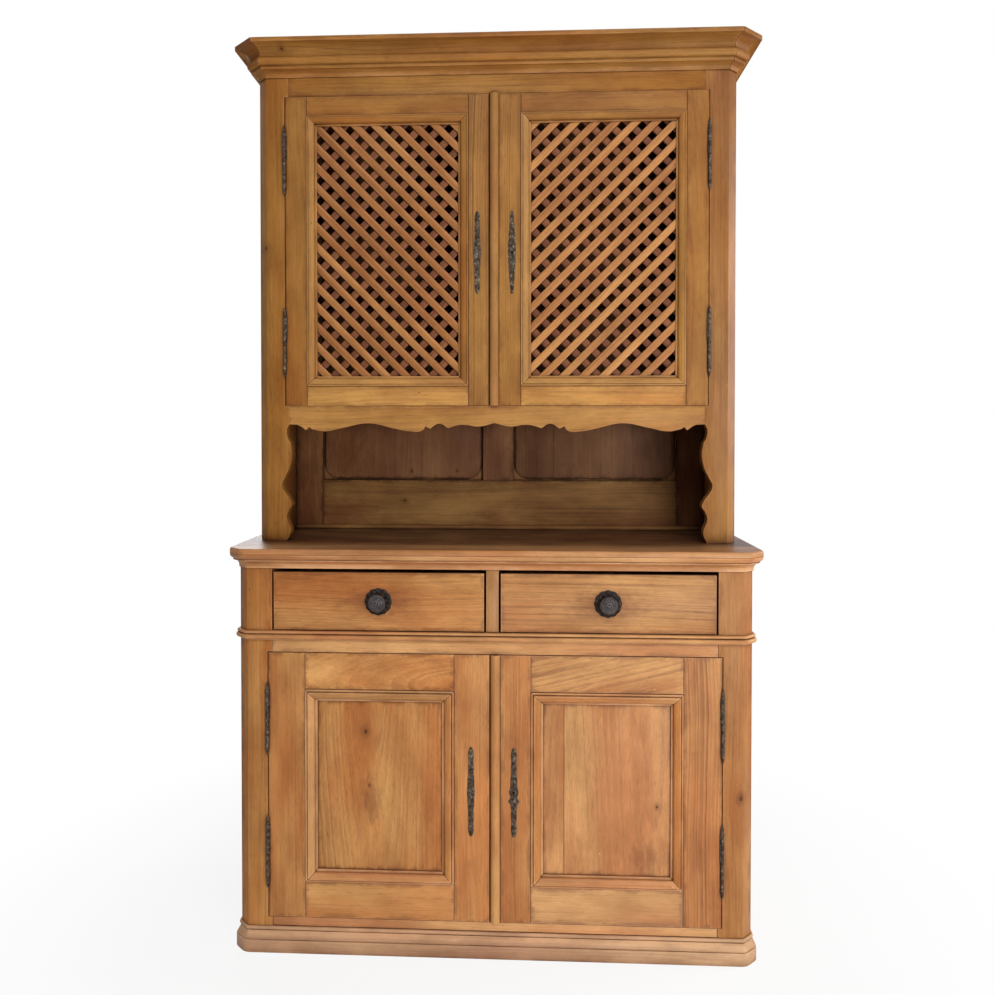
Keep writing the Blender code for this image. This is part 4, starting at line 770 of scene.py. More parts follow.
def pine(name, finish, low, high, grain, front_edges=False):
    """A pine material with its grain along a direction, laid out about the middle of the piece's box."""
    look = LOOKS.get(name, Look())
    material, make = new_material(name + "_pine")
    number = crc32(name.encode())
    seed = number % SEED_COUNT * SEED_STEP
    chance = number % CHANCE_COUNT / (CHANCE_COUNT / 2) - 1
    turn = (Vector(grain) + Vector(look.slant)).rotation_difference(Vector((0, 0, 1)))
    centre = turn @ ((low + high) / 2)
    texture = make.add("ShaderNodeTexCoord")
    edge = edge_distance(make, texture.outputs["Object"], low, high)
    width_share = min(1, sorted((high - low) / EDGE_DIRT_BOARD_WIDTH)[1])
    edge_strength = finish.edge_strength * look.edge * width_share
    if front_edges:
        facing = make.add("ShaderNodeSeparateXYZ", {0: texture.outputs["Normal"]}).outputs["Y"]
        edge_strength = make.remap(facing, *FRONT_FACING, edge_strength, 0.0)
    inputs = {"Vector": texture.outputs["Object"], "Location": -centre, "Rotation": turn.to_euler()}
    vector = make.add("ShaderNodeMapping", inputs).outputs["Vector"]
    core, rust, top_shade = 0.0, 0.0, 0.0
    tone = look.tone * (1 + chance * TONE_SPREAD)
    for place, radius in look.stains:
        inputs = {"Vector": vector, "Place": turn @ Vector(place) - centre, "Radius": radius, "Rust": rust}
        rust = make.group(STAIN_GROUP, inputs).outputs["Rust"]
    for place, radius in look.knots:
        inputs = {"Vector": vector, "Place": turn @ Vector(place) - centre, "Radius": radius, "Core": core}
        knot = make.group(KNOT_GROUP, inputs)
        vector, core = knot.outputs["Vector"], knot.outputs["Core"]
    if look.boards:
        width, line, offset = look.boards
        split = make.group(BOARDS_GROUP, {"Vector": vector, "Width": width, "Line": line, "Offset": offset})
        vector = split.outputs["Vector"]
        tone = make.times(split.outputs["Tone"], tone)
        core = make.math("MAXIMUM", split.outputs["Joint"], core)
    # Painted shade on the worktop's top: up-facing faces darken, least at the front and most in a painted
    # shadow under the upper cabinet
    if look.top_shade:
        up = make.add("ShaderNodeSeparateXYZ", {0: texture.outputs["Normal"]}).outputs["Z"]
        depth = make.add("ShaderNodeSeparateXYZ", {0: texture.outputs["Object"]}).outputs["Y"]
        shadowed = make.remap(depth, TOP_FRONT_Y, TOP_DARK_Y, look.top_shade * TOP_FRONT_SHADE_SHARE, look.top_shade)
        top_shade = make.times(make.remap(up, *TOP_FACING), shadowed)
    heart = look.heart or (chance * HEART_SPREAD, HEART_DEPTH * (1 + chance * chance))
    vector = make.vector("ADD", vector, (*heart, seed))
    shades = (finish.light, finish.deep, finish.brown)
    light, deep, brown = (blend(shade, DUST, look.dusty) for shade in shades)
    wood = make.group(PINE_GROUP, {
        "Vector": vector, "Light": light, "Deep": deep, "Brown": brown, "Grime": finish.grime,
        "Worn": finish.worn, "Spacing": look.spacing, "Rings": look.rings, "Streaks": look.streaks,
        "Tone": tone, "Pale": look.pale, "Core": core, "Rust": rust, "Top shade": top_shade,
        "Grime strength": finish.grime_strength, "Corner reach": finish.corner_reach,
        "Haze reach": finish.haze_reach, "Wear strength": finish.wear_strength,
        "Roughness": finish.roughness, "Edge": edge, "Edge strength": edge_strength,
    })
    finish_material(
        make, wood.outputs["Color"], wood.outputs["Roughness"], wood.outputs["Height"], PINE_BUMP_STRENGTH,
        PINE_BUMP_DISTANCE, {"Specular IOR Level": finish.specular * look.gloss},
    )
    return material


def make_iron(name, dark, pale, rubbed_and_highlight, mottle, shine=0.16, wear_and_highlight_reach=0.0010):
    """Old iron: pale where wear has polished it, with a painted highlight on its edges, brown and black in
    the hollows, mottled like an old casting.
    """
    material, make = new_material(name)
    coordinates = make.add("ShaderNodeTexCoord").outputs["Object"]
    patch = make.noise(coordinates, (120.0, 120.0, 120.0), 3.0, 0.6)
    pits = make.noise(coordinates, (800.0, 800.0, 800.0), 2.0)
    cells = make.vector("MULTIPLY", coordinates, (190.0, 190.0, 150.0))
    cells = make.add("ShaderNodeTexVoronoi", {"Vector": cells, "Scale": 1.0}, feature="SMOOTH_F1")
    lump = make.remap(cells.outputs["Distance"], 0.15, 0.65, 1.0, 0.0)
    colour = make.mix(make.remap(patch, 0.35, 0.65), dark, pale)
    colour = make.mix(make.times(make.math("SUBTRACT", 1.0, lump), mottle), colour, IRON_HOLLOW)
    crest = make.times(make.remap(lump, 0.70, 1.0), make.remap(patch, 0.48, 0.60))
    colour = make.mix(make.times(crest, mottle), colour, rubbed_and_highlight)
    colour = make.mix(make.remap(pits, 0.56, 0.72, 0.0, 0.5), colour, IRON_RUST)
    # Paler edges: wear, with a painted highlight
    worn = make.remap(make.closeness(wear_and_highlight_reach, inside=True), 0.40, 0.80, 0.40, 0.0)
    colour = make.mix(worn, colour, rubbed_and_highlight)
    hollow = make.remap(make.closeness(IRON_HOLLOW_REACH), 0.30, 0.88, 0.92, 0.0)
    colour = make.mix(hollow, colour, IRON_HOLLOW)
    height = make.math("MULTIPLY_ADD", lump, 2.0 * mottle, make.math("ADD", patch, pits))
    rough = make.math("MULTIPLY_ADD", patch, 0.25, 0.30)
    constants = {"Metallic": IRON_METALLIC, "Specular IOR Level": shine}
    finish_material(make, colour, rough, height, IRON_BUMP_STRENGTH, IRON_BUMP_DISTANCE, constants)
    return material


IRON = make_iron(
    "old_iron", srgb(52, 43, 36), srgb(112, 98, 84), srgb(146, 132, 116), 0.50, wear_and_highlight_reach=0.0003,
)
CAST_IRON = make_iron("cast_iron", srgb(62, 51, 41), srgb(112, 97, 81), srgb(150, 135, 115), 0.66)
ROSETTE_IRON = make_iron("rosette_iron", srgb(20, 14, 11), srgb(46, 35, 28), srgb(84, 70, 58), 0.70)
KNOB_IRON = make_iron("knob_iron", srgb(42, 36, 37), srgb(74, 65, 66), srgb(168, 160, 156), 0.15, 0.50)


def ease_edges(obj, width):
    """Round the arrises of an object, after joining the loose corners that an import leaves."""
    weld = obj.modifiers.new("weld", "WELD")
    weld.merge_threshold = WELD_DISTANCE
    bevel = obj.modifiers.new("ease", "BEVEL")
    bevel.width = width
    bevel.segments = EASE_SEGMENTS
    bevel.limit_method = "ANGLE"
    bevel.angle_limit = SMOOTH_ANGLE
    bevel.use_clamp_overlap = True
    bevel.harden_normals = True


def set_material(obj, material):
    obj.data.materials.clear()
    obj.data.materials.append(material)


def dress(node, material, ease):
    """Give a CAD node that keeps its own shape a material and soft arrises."""
    obj = frame["nodes"][node]
    set_material(obj, material)
    ease_edges(obj, ease)
    obj.data.shade_smooth()


def dress_wood(node, finish, grain, ease=BOARD_EASE, shown=None):
    """Dress a CAD node in pine, laid out on its box or on the part of it that shows."""
    low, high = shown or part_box(node)
    dress(node, pine(node, finish, low, high, grain, shown is not None), ease)


def new_object(name, bm):
    """An object in the scene from a finished bmesh."""
    bmesh.ops.recalc_face_normals(bm, faces=bm.faces)
    mesh = bpy.data.meshes.new(name)
    bm.to_mesh(mesh)
    bm.free()
    obj = bpy.data.objects.new(name, mesh)
    bpy.context.scene.collection.objects.link(obj)
    return obj


def add_piece(name, bm, body, nodes, ease=None):
    """A new piece that rides on a body and stands for the given nodes."""
    obj = new_object(name, bm)
    obj.data.shade_smooth()
    obj.data.set_sharp_from_angle(angle=SMOOTH_ANGLE)
    if ease:
        ease_edges(obj, ease)
    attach(obj, body)
    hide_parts(*nodes)
    return obj


def add_wood(name, bm, body, nodes, finish, grain, ease=None):
    low = Vector(min(vert.co[axis] for vert in bm.verts) for axis in range(3))
    high = Vector(max(vert.co[axis] for vert in bm.verts) for axis in range(3))
    obj = add_piece(name, bm, body, nodes, ease)
    set_material(obj, pine(name, finish, low, high, grain))
    return obj


def add_iron(name, bm, body, nodes, material=IRON, ease=None):
    obj = add_piece(name, bm, body, nodes, ease)
    set_material(obj, material)
    return obj


def skin(bm, rings):
    """Faces between each ring of corners and the next."""
    for near, far in zip(rings, rings[1:]):
        for index in range(len(near)):
            after = (index + 1) % len(near)
            bm.faces.new((near[index], near[after], far[after], far[index]))


def fan(bm, tip, ring):
    """Faces from a tip to each side of a ring."""
    for index in range(len(ring)):
        bm.faces.new((tip, ring[index], ring[(index + 1) % len(ring)]))


def loft(loops):
    """Skin a row of like loops and cap both ends."""
    bm = bmesh.new()
    rings = [[bm.verts.new(point) for point in loop] for loop in loops]
    skin(bm, rings)
    bm.faces.new(rings[0])
    bm.faces.new(rings[-1])
    return bm


def arc(centre_x, centre_y, radius_x, radius_y, start, end, steps=ARC_STEPS):
    """Points on an arc between two angles in degrees, ends included."""
    turns = [radians(start + (end - start) * step / steps) for step in range(steps + 1)]
    return [(centre_x + radius_x * cos(turn), centre_y + radius_y * sin(turn)) for turn in turns]


def turned(profile, place, axis="Z"):
    """A closed turned solid from (radius, distance) points that start and end on the axis."""
    bm = bmesh.new()

    def corner(radius, distance, angle):
        across, up = radius * cos(angle), radius * sin(angle)
        offset = (across, up, distance) if axis == "Z" else (across, -distance, up)
        return bm.verts.new(Vector(place) + Vector(offset))

    angles = [2 * pi * step / TURN_STEPS for step in range(TURN_STEPS)]
    rings = [[corner(radius, distance, angle) for angle in angles] for radius, distance in profile[1:-1]]
    first_tip, last_tip = (corner(0, profile[end][1], 0) for end in (0, -1))
    skin(bm, rings)
    fan(bm, first_tip, rings[0])
    fan(bm, last_tip, rings[-1])
    return bm


def box(low, high):
    bm = bmesh.new()
    low, high = Vector(low), Vector(high)
    place = Matrix.Translation((low + high) / 2) @ Matrix.Diagonal((*(high - low), 1))
    bmesh.ops.create_cube(bm, size=1.0, matrix=place)
    return bm


def board(name, low, high, body, nodes, finish, grain, ease=BOARD_EASE):
    """One straight board with eased arrises."""
    return add_wood(name, box(low, high), body, nodes, finish, grain, ease)


def peak(value, middle, width):
    """1 at the middle, falling straight to 0 at a width to either side."""
    return max(0.0, 1 - abs(value - middle) / width)


def seat_of(node):
    """The middle of the face that a fitting is fixed by, how far it stands out and how tall it is."""
    low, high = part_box(node)
    return Vector(((low.x + high.x) / 2, high.y, (low.z + high.z) / 2)), high.y - low.y, high.z - low.z


def canted_plan(half_width, front_y, back_y, cant, reach):
    """The plan of a carcass with canted front corners, moved outwards by reach, open at the back."""
    mitre = reach * tan(pi / 8)
    right = [
        (half_width - cant + mitre, front_y - reach),
        (half_width + reach, front_y + cant - mitre),
        (half_width + reach, back_y),
    ]
    left = [(-x, y) for x, y in reversed(right)]
    return left + right


def eased_plan(half_width, front_y, back_y, cant, reach):
    """The same plan with its corners worn round, the more so the further out they stand."""
    plan = [Vector(point) for point in canted_plan(half_width, front_y, back_y, cant, reach)]
    ease = CORNER_EASE * min(1.0, reach / CORNER_EASE_REACH)
    points = [plan[0]]
    for before, corner, after in zip(plan, plan[1:], plan[2:]):
        start = corner + (before - corner).normalized() * ease
        end = corner + (after - corner).normalized() * ease
        for step in range(CORNER_STEPS + 1):
            share = step / CORNER_STEPS
            points.append(start.lerp(corner, share).lerp(corner.lerp(end, share), share))
    return points + [plan[-1]]


RUN_NAMES = ("left_side", "left_cant", "front", "right_cant", "right_side")


def moulding_stations(make_plan, profile, base_z, carcass, cant):
    """The section of a moulding, from (reach, height) points, at each corner of the plan it follows."""
    rows = []
    for reach, height in profile:
        rows.append([Vector((*point, base_z + height)) for point in make_plan(*carcass, cant, reach)])
    return [list(station) for station in zip(*rows)]


def mitred_length(near, far):
    """A length of moulding between two sections, a hair short of its mitres, and its direction."""
    along = (far[0] - near[0]).normalized()
    near_end = [point + along * MITRE_GAP for point in near]
    far_end = [point - along * MITRE_GAP for point in far]
    return loft([near_end, far_end]), along


def bend_moulding(node, profile, base_z, carcass, cant, finish):
    """A moulding worn round at its corners: one length along the front and cants, one along each side."""
    stations = moulding_stations(eased_plan, profile, base_z, carcass, cant)
    runs = (
        ("left_side", mitred_length(*stations[:2])[0], DEPTH_GRAIN),
        ("front", loft(stations[1:-1]), FRONT_GRAIN),
        ("right_side", mitred_length(*stations[-2:])[0], DEPTH_GRAIN),
    )
    for run_name, bm, grain in runs:
        add_wood(f"{node}_{run_name}", bm, "carcass", [node], finish, grain, ARRIS_EASE)


def wrap_moulding(node, profile, base_z, carcass, cant, finish):
    """Five mitred lengths of moulding round a carcass."""
    stations = moulding_stations(canted_plan, profile, base_z, carcass, cant)
    for run_name, near, far in zip(RUN_NAMES, stations, stations[1:]):
        bm, along = mitred_length(near, far)
        add_wood(f"{node}_{run_name}", bm, "carcass", [node], finish, along, ARRIS_EASE)


def plinth_profile(height):
    """A round-edged board, a cove above it and a bead along the top, with a quirk under the bead."""
    bead_low = height - PLINTH_BEAD_HEIGHT
    bead_half = PLINTH_BEAD_HEIGHT / 2
    cove_high = bead_low - PLINTH_QUIRK
    cove_low = PLINTH_BOARD_HEIGHT + PLINTH_QUIRK
    cove_reach = PLINTH_REACH - FILLET
    edge = PLINTH_BOARD_ROUND
    profile = [(SEAT_GAP, 0), (PLINTH_REACH, 0)]
    profile += arc(PLINTH_REACH - edge, PLINTH_BOARD_HEIGHT - edge, edge, edge, 0, 90)
    profile += [(cove_reach - PLINTH_QUIRK, PLINTH_BOARD_HEIGHT), (cove_reach - PLINTH_QUIRK, cove_low)]
    profile += arc(cove_reach, cove_high, cove_reach - FILLET, cove_high - cove_low, 270, 180)
    profile += [(PLINTH_QUIRK, cove_high), (PLINTH_QUIRK, bead_low)]
    profile += arc(PLINTH_QUIRK, bead_low + bead_half, PLINTH_BEAD_REACH - PLINTH_QUIRK, bead_half, -90, 90)
    return profile + [(SEAT_GAP, height)]


def waist_profile(height):
    """A thick half-round bead over a quirk, and a thinner one above it."""
    split = height * WAIST_SPLIT
    profile = [(SEAT_GAP, 0), (FILLET, 0)]
    thick_half, thin_half = (split - WAIST_QUIRK) / 2, (height - split) / 2
    profile += arc(FILLET, (WAIST_QUIRK + split) / 2, WAIST_REACH - FILLET, thick_half, -90, 90)
    profile += arc(FILLET, (split + height) / 2, WAIST_THIN_REACH - FILLET, thin_half, -90, 90)[1:]
    return profile + [(SEAT_GAP, height)]


def cavetto_profile(height):
    """A hollow quarter round that opens out under the worktop."""
    profile = [(SEAT_GAP, 0), (FILLET, 0)]
    profile += arc(CAVETTO_REACH, FILLET, CAVETTO_REACH - FILLET, height - 2 * FILLET, 180, 90)
    return profile + [(CAVETTO_REACH, height), (SEAT_GAP, height)]


def cornice_profile(height):
    """From the bottom up: a small cove, a band, a torus, a large cove and a square crown."""
    torus_low = CORNICE_COVE_HEIGHT + CORNICE_BAND_HEIGHT
    torus_radius = CORNICE_TORUS_HEIGHT / 2
    torus_bulge = CORNICE_TORUS_REACH - CORNICE_BAND_REACH - FILLET
    crown_low = height - CORNICE_CROWN_HEIGHT
    cove_low = torus_low + CORNICE_TORUS_HEIGHT + FILLET
    cove_reach = CORNICE_REACH - FILLET
    cove_start = CORNICE_BAND_REACH + FILLET
    small_cove = CORNICE_COVE_HEIGHT - FILLET
    profile = [(SEAT_GAP, 0), (FILLET, 0)]
    profile += arc(CORNICE_BAND_REACH, FILLET, CORNICE_BAND_REACH - FILLET, small_cove, 180, 90)
    profile += [(CORNICE_BAND_REACH, torus_low)]
    profile += arc(cove_start, torus_low + torus_radius, torus_bulge, torus_radius, -90, 90)
    profile += arc(cove_reach, cove_low, cove_reach - cove_start, crown_low - cove_low, 180, 90)
    return profile + [(CORNICE_REACH, crown_low), (CORNICE_REACH, height), (SEAT_GAP, height)]


def carcass_of(post):
    """Half width, front and back of the carcass that a right-hand post belongs to."""
    low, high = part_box(post)
    return high.x, low.y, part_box("upper_back_panel")[1].y


def build_carcass_mouldings():
    base = carcass_of("base_right_post")
    upper = carcass_of("upper_right_post")
    runs = (
        ("plinth_moulding", bend_moulding, plinth_profile, base, BASE_CANT, OUTSIDE),
        ("waist_moulding", bend_moulding, waist_profile, base, BASE_CANT, OUTSIDE),
        ("worktop_moulding", bend_moulding, cavetto_profile, base, BASE_CANT, OUTSIDE),
        ("cornice_moulding", wrap_moulding, cornice_profile, upper, UPPER_CANT, UPPER_OUTSIDE),
    )
    for node, run, profile, carcass, cant, finish in runs:
        low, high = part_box(node)
        run(node, profile(high.z - low.z), low.z, carcass, cant, finish)
    post_low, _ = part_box("base_right_post")
    plinth_low, plinth_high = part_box("plinth_moulding")
    half_width = post_low.x - SEAT_GAP
    front_y = post_low.y + SEAT_GAP
    board(
        "plinth_backing", (-half_width, front_y, plinth_low.z),
        (half_width, front_y + PLINTH_BACKING_THICKNESS, plinth_high.z), "carcass", ["plinth_moulding"],
        OUTSIDE, FRONT_GRAIN, ARRIS_EASE,
    )


def build_worktop():
    low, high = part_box("worktop")
    half_width, front_y, back_y = carcass_of("base_right_post")
    foot, top = NOSING_FOOT_ROUND, NOSING_TOP_ROUND
    section = arc(NOSING_OVERHANG - foot, low.z + foot, foot, foot, -90, 0)
    section += arc(NOSING_OVERHANG - top, high.z - top, top, top, 0, 90)
    loops = []
    for reach, height in section:
        plan = eased_plan(half_width, front_y, back_y, BASE_CANT, reach)
        loops.append([(x, y, height) for x, y in plan])
    add_wood("worktop_boards", loft(loops), "carcass", ["worktop"], WORKTOP, FRONT_GRAIN)


def build_carcass():
    for side_name in SIDES:
        dress_wood(f"base_{side_name}_post", OUTSIDE, UPRIGHT_GRAIN, POST_EASE)
        dress_wood(f"upper_{side_name}_post", UPPER_OUTSIDE, UPRIGHT_GRAIN, BOARD_EASE)
        dress_wood(f"base_{side_name}_side", OUTSIDE, UPRIGHT_GRAIN)
        dress_wood(f"upper_{side_name}_side", UPPER_OUTSIDE, UPRIGHT_GRAIN)
    for node in ("base_floor_board", "base_waist_rail"):
        dress_wood(node, OUTSIDE, FRONT_GRAIN)
    dress_wood("drawer_divider", OUTSIDE, UPRIGHT_GRAIN)
    for node in ("frieze_rail", "scalloped_apron", "upper_top_board"):
        dress_wood(node, UPPER_OUTSIDE, FRONT_GRAIN)
    dress_wood("drawer_runner_board", INSIDE, FRONT_GRAIN)
    for node in ("base_back_panel", "upper_back_panel"):
        dress_wood(node, INSIDE, UPRIGHT_GRAIN)
    for node in ("upper_floor_board", "upper_shelf_lower", "upper_shelf_upper"):
        dress_wood(node, NICHE, FRONT_GRAIN)


def build_framed_back():
    """The framed back as two stiles, a muntin and two rails, each cut from its own board."""
    node = "upper_back_frame"
    low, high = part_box(node)
    rail_x = high.x - BACK_STILE_WIDTH - JOINT_GAP
    bottom_z = low.z + BACK_BOTTOM_RAIL_HEIGHT
    top_z = high.z - BACK_TOP_RAIL_HEIGHT
    half_muntin = BACK_MUNTIN_WIDTH / 2
    boards = (
        ("left_stile", (low.x, low.z), (low.x + BACK_STILE_WIDTH, high.z), UPRIGHT_GRAIN, NICHE),
        ("right_stile", (high.x - BACK_STILE_WIDTH, low.z), (high.x, high.z), UPRIGHT_GRAIN, NICHE),
        (
            "muntin", (-half_muntin, bottom_z + JOINT_GAP), (half_muntin, top_z - JOINT_GAP), UPRIGHT_GRAIN,
            NICHE,
        ),
        ("bottom_rail", (-rail_x, low.z), (rail_x, bottom_z), FRONT_GRAIN, NICHE_RAIL),
        ("top_rail", (-rail_x, top_z), (rail_x, high.z), FRONT_GRAIN, NICHE),
    )
    for name, (low_x, low_z), (high_x, high_z), grain, finish in boards:
        low_corner, high_corner = (low_x, low.y, low_z), (high_x, high.y, high_z)
        board(f"upper_back_{name}", low_corner, high_corner, "carcass", [node], finish, grain, ARRIS_EASE)
    panel_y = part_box("upper_back_panel")[0].y
    fields = (
        ("left_field", low.x + BACK_STILE_WIDTH, -half_muntin),
        ("right_field", half_muntin, high.x - BACK_STILE_WIDTH),
    )
    for name, low_x, high_x in fields:
        loops = []
        for forward, inset in ((SEAT_GAP, 0), (FIELD_THICKNESS / 2, 0), (FIELD_THICKNESS, FIELD_SLOPE)):
            outline = round_cornered(
                low_x + FIELD_INSET + inset, bottom_z + FIELD_INSET + inset,
                high_x - FIELD_INSET - inset, top_z - FIELD_INSET - inset, FIELD_ROUND,
            )
            loops.append([(x, panel_y - forward, z) for x, z in outline])
        add_wood(f"upper_back_{name}", loft(loops), "carcass", [node], NICHE, UPRIGHT_GRAIN, ARRIS_EASE)
    square = FOOT_STRIP_HEIGHT / 3
    section = [(SEAT_GAP, SEAT_GAP), (FOOT_STRIP_DEPTH, SEAT_GAP)]
    section += arc(SEAT_GAP, square, FOOT_STRIP_DEPTH - SEAT_GAP, FOOT_STRIP_HEIGHT - square, 0, 90)
    loops = [[(x, low.y - forward, low.z + height) for forward, height in section] for x in (low.x, high.x)]
    add_wood("upper_back_foot_strip", loft(loops), "carcass", [node], NICHE_RAIL, FRONT_GRAIN, ARRIS_EASE)


def round_cornered(low_x, low_z, high_x, high_z, radius):
    """The outline of a rectangle whose corners are quarter rounds."""
    corners = (
        (high_x - radius, low_z + radius, 270), (high_x - radius, high_z - radius, 0),
        (low_x + radius, high_z - radius, 90), (low_x + radius, low_z + radius, 180),
    )
    return [point for x, z, turn in corners for point in arc(x, z, radius, radius, turn, turn + 90)]


def knob_profile(length):
    """A domed knob with ring grooves, on a neck and a foot, from the tip back to the foot."""
    profile = [(0, length)]
    for step in range(1, KNOB_STEPS + 1):
        share = KNOB_FACE * step / KNOB_STEPS
        grooves = sum(peak(share, groove, KNOB_GROOVE_WIDTH) for groove in KNOB_GROOVES)
        drop = KNOB_DOME * share ** KNOB_DOME_POWER + KNOB_GROOVE_DEPTH * grooves
        profile.append((KNOB_RADIUS * share, length - drop))
    profile += [(KNOB_RADIUS * radius, length * distance) for radius, distance in KNOB_BACK]
    return profile + [(KNOB_RADIUS * KNOB_FOOT, SEAT_GAP), (0, 0)]


def rosette_height(share, lobe):
    """Height of a rosette at a share of its radius: a dish, a collar, and petals out to a low rim."""
    if share == 1:
        return ROSETTE_RIM
    outwards = max(0.0, (share - PETAL_START) / (1 - PETAL_START))
    petal = sin(pi * outwards) * (PETAL_VALLEY + (1 - PETAL_VALLEY) * lobe)
    collar = COLLAR_HEIGHT * peak(share, COLLAR_PLACE, COLLAR_WIDTH)
    return ROSETTE_DISH + (1 - ROSETTE_DISH) * max(petal, collar)


def build_rosette(place, depth):
    """A round cast plate with raised petals round a dished middle, drawn by a polar grid."""
    steps = ROSETTE_PETALS * PETAL_STEPS
    bm = bmesh.new()
    rings = []
    for ring_number in range(1, ROSETTE_RINGS + 1):
        share = ring_number / ROSETTE_RINGS
        ring = []
        for step in range(steps):
            angle = 2 * pi * step / steps
            lobe = abs(cos(ROSETTE_PETALS * angle / 2))
            radius = (ROSETTE_RADIUS - PETAL_DEPTH * (1 - lobe ** PETAL_FULLNESS)) * share
            y = place.y - depth * rosette_height(share, lobe)
            ring.append(bm.verts.new((place.x + radius * cos(angle), y, place.z + radius * sin(angle))))
        rings.append(ring)
    back = [bm.verts.new((vert.co.x, place.y, vert.co.z)) for vert in rings[-1]]
    middle = bm.verts.new((place.x, place.y - depth * ROSETTE_DISH, place.z))
    skin(bm, rings + [back])
    fan(bm, middle, rings[0])
    bm.faces.new(back)
    return bm


def build_drawers():
    for side_name in SIDES:
        body = f"{side_name}_drawer"
        dress_wood(f"{body}_front", OUTSIDE, FRONT_GRAIN)
        dress_wood(f"{body}_box", INSIDE, FRONT_GRAIN, ARRIS_EASE)
        place, depth, _ = seat_of(f"{body}_rosette")
        rosette = build_rosette(place, depth)
        add_iron(f"{side_name}_rosette", rosette, body, [f"{body}_rosette"], ROSETTE_IRON)
        place, length, _ = seat_of(f"{body}_knob")
        knob = turned(knob_profile(length), place, "Y")
        add_iron(f"{side_name}_knob", knob, body, [f"{body}_knob"], KNOB_IRON)


@dataclass
class DoorLevel:
    """What the two doors of one level share."""
    name: str
    post: str
    meeting_x: float
    thickness: float
    moulding_width: float
    moulding_proud: float
    moulding_quirk: float
    finish: Finish


DOOR_LEVELS = (
    DoorLevel(
        "lower", "base", meeting_x=-0.0055, thickness=0.024, moulding_width=0.029, moulding_proud=0.0055,
        moulding_quirk=0.0016, finish=OUTSIDE,
    ),
    DoorLevel(
        "upper", "upper", meeting_x=-0.0135, thickness=0.022, moulding_width=0.0255, moulding_proud=0.0045,
        moulding_quirk=0.0007, finish=UPPER_OUTSIDE,
    ),
)


def door_edge_x(body, side):
    """Where a door's hinge edge stands: near the post, whose edge is half a gap past the pins' line."""
    pin_x = next(joint["pos_m"][0] for joint in frame["joints"] if joint["child"] == body)
    return pin_x + side * (DOOR_GAP / 2 - DOOR_REVEAL)


def add_upright(name, section, heights, body, nodes, finish, ease):
    """A piece with the same section from its foot to its head."""
    loops = [[(x, y, z) for x, y in section] for z in heights]
    add_wood(name, loft(loops), body, nodes, finish, UPRIGHT_GRAIN, ease)


def hinge_stile_section(inner_x, edge_x, face_y, back_y):
    """The outer stile of a door, its front arris rounded so that it clears the pins as the door swings."""
    radius = DOOR_EDGE_ROUND if edge_x > inner_x else -DOOR_EDGE_ROUND
    section = [(inner_x, back_y), (inner_x, face_y)]
    section += arc(edge_x - radius, face_y + DOOR_EDGE_ROUND, radius, DOOR_EDGE_ROUND, 270, 360)
    return section + [(edge_x, back_y)]


def meeting_bead_section(low_x, face_y, back_y):
    """The soft roll along the meeting edge of a right-hand door."""
    section = [(low_x, back_y)]
    for step in range(ROLL_STEPS + 1):
        share = step / ROLL_STEPS
        forward = BEAD_REACH * sin(pi * share) ** BEAD_FULLNESS
        section.append((low_x + share * BEAD_WIDTH, face_y - forward))
    return section + [(low_x + BEAD_WIDTH, back_y)]


def bolection_profile(width, proud, back, quirk):
    """A lip, a quirk, an ovolo and a toe, as inset from the opening and height above the door face."""
    lip = MOULDING_LIP_WIDTH
    ovolo_inset = lip + quirk
    toe = width - MOULDING_TOE_WIDTH
    ovolo_width = toe - ovolo_inset
    quirk_height = MOULDING_LIP_PROUD - quirk
    profile = [(0, -back), (0, MOULDING_LIP_PROUD - SEAT_GAP), (lip / 2, MOULDING_LIP_PROUD)]
    profile += [(lip, MOULDING_LIP_PROUD - SEAT_GAP), (lip, quirk_height), (ovolo_inset, quirk_height)]
    profile += arc(ovolo_inset, -MOULDING_OVOLO_DROP, ovolo_width, proud + MOULDING_OVOLO_DROP, 90, 0)
    return profile + [(toe, -MOULDING_TOE_DROP), (width, -MOULDING_TOE_DROP), (width, -back)]


def build_door_moulding(level, name, face_y):
    """Four mitred lengths round the door's opening."""
    node = name + "_moulding"
    low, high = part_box(node)
    back = high.y - face_y
    profile = bolection_profile(level.moulding_width, level.moulding_proud, back, level.moulding_quirk)
    corners = (
        (low.x, low.z, 1, 1), (high.x, low.z, -1, 1), (high.x, high.z, -1, -1), (low.x, high.z, 1, -1),
    )
    stations = []
    for x, z, inward_x, inward_z in corners:
        section = []
        for inset, forward in profile:
            section.append(Vector((x + inward_x * inset, face_y - forward, z + inward_z * inset)))
        stations.append(section)
    runs = ("bottom", "right", "top", "left")
    for run, near, far in zip(runs, stations, stations[1:] + stations[:1]):
        bm, along = mitred_length(near, far)
        add_wood(f"{name}_moulding_{run}", bm, name, [node], level.finish, along, ARRIS_EASE)


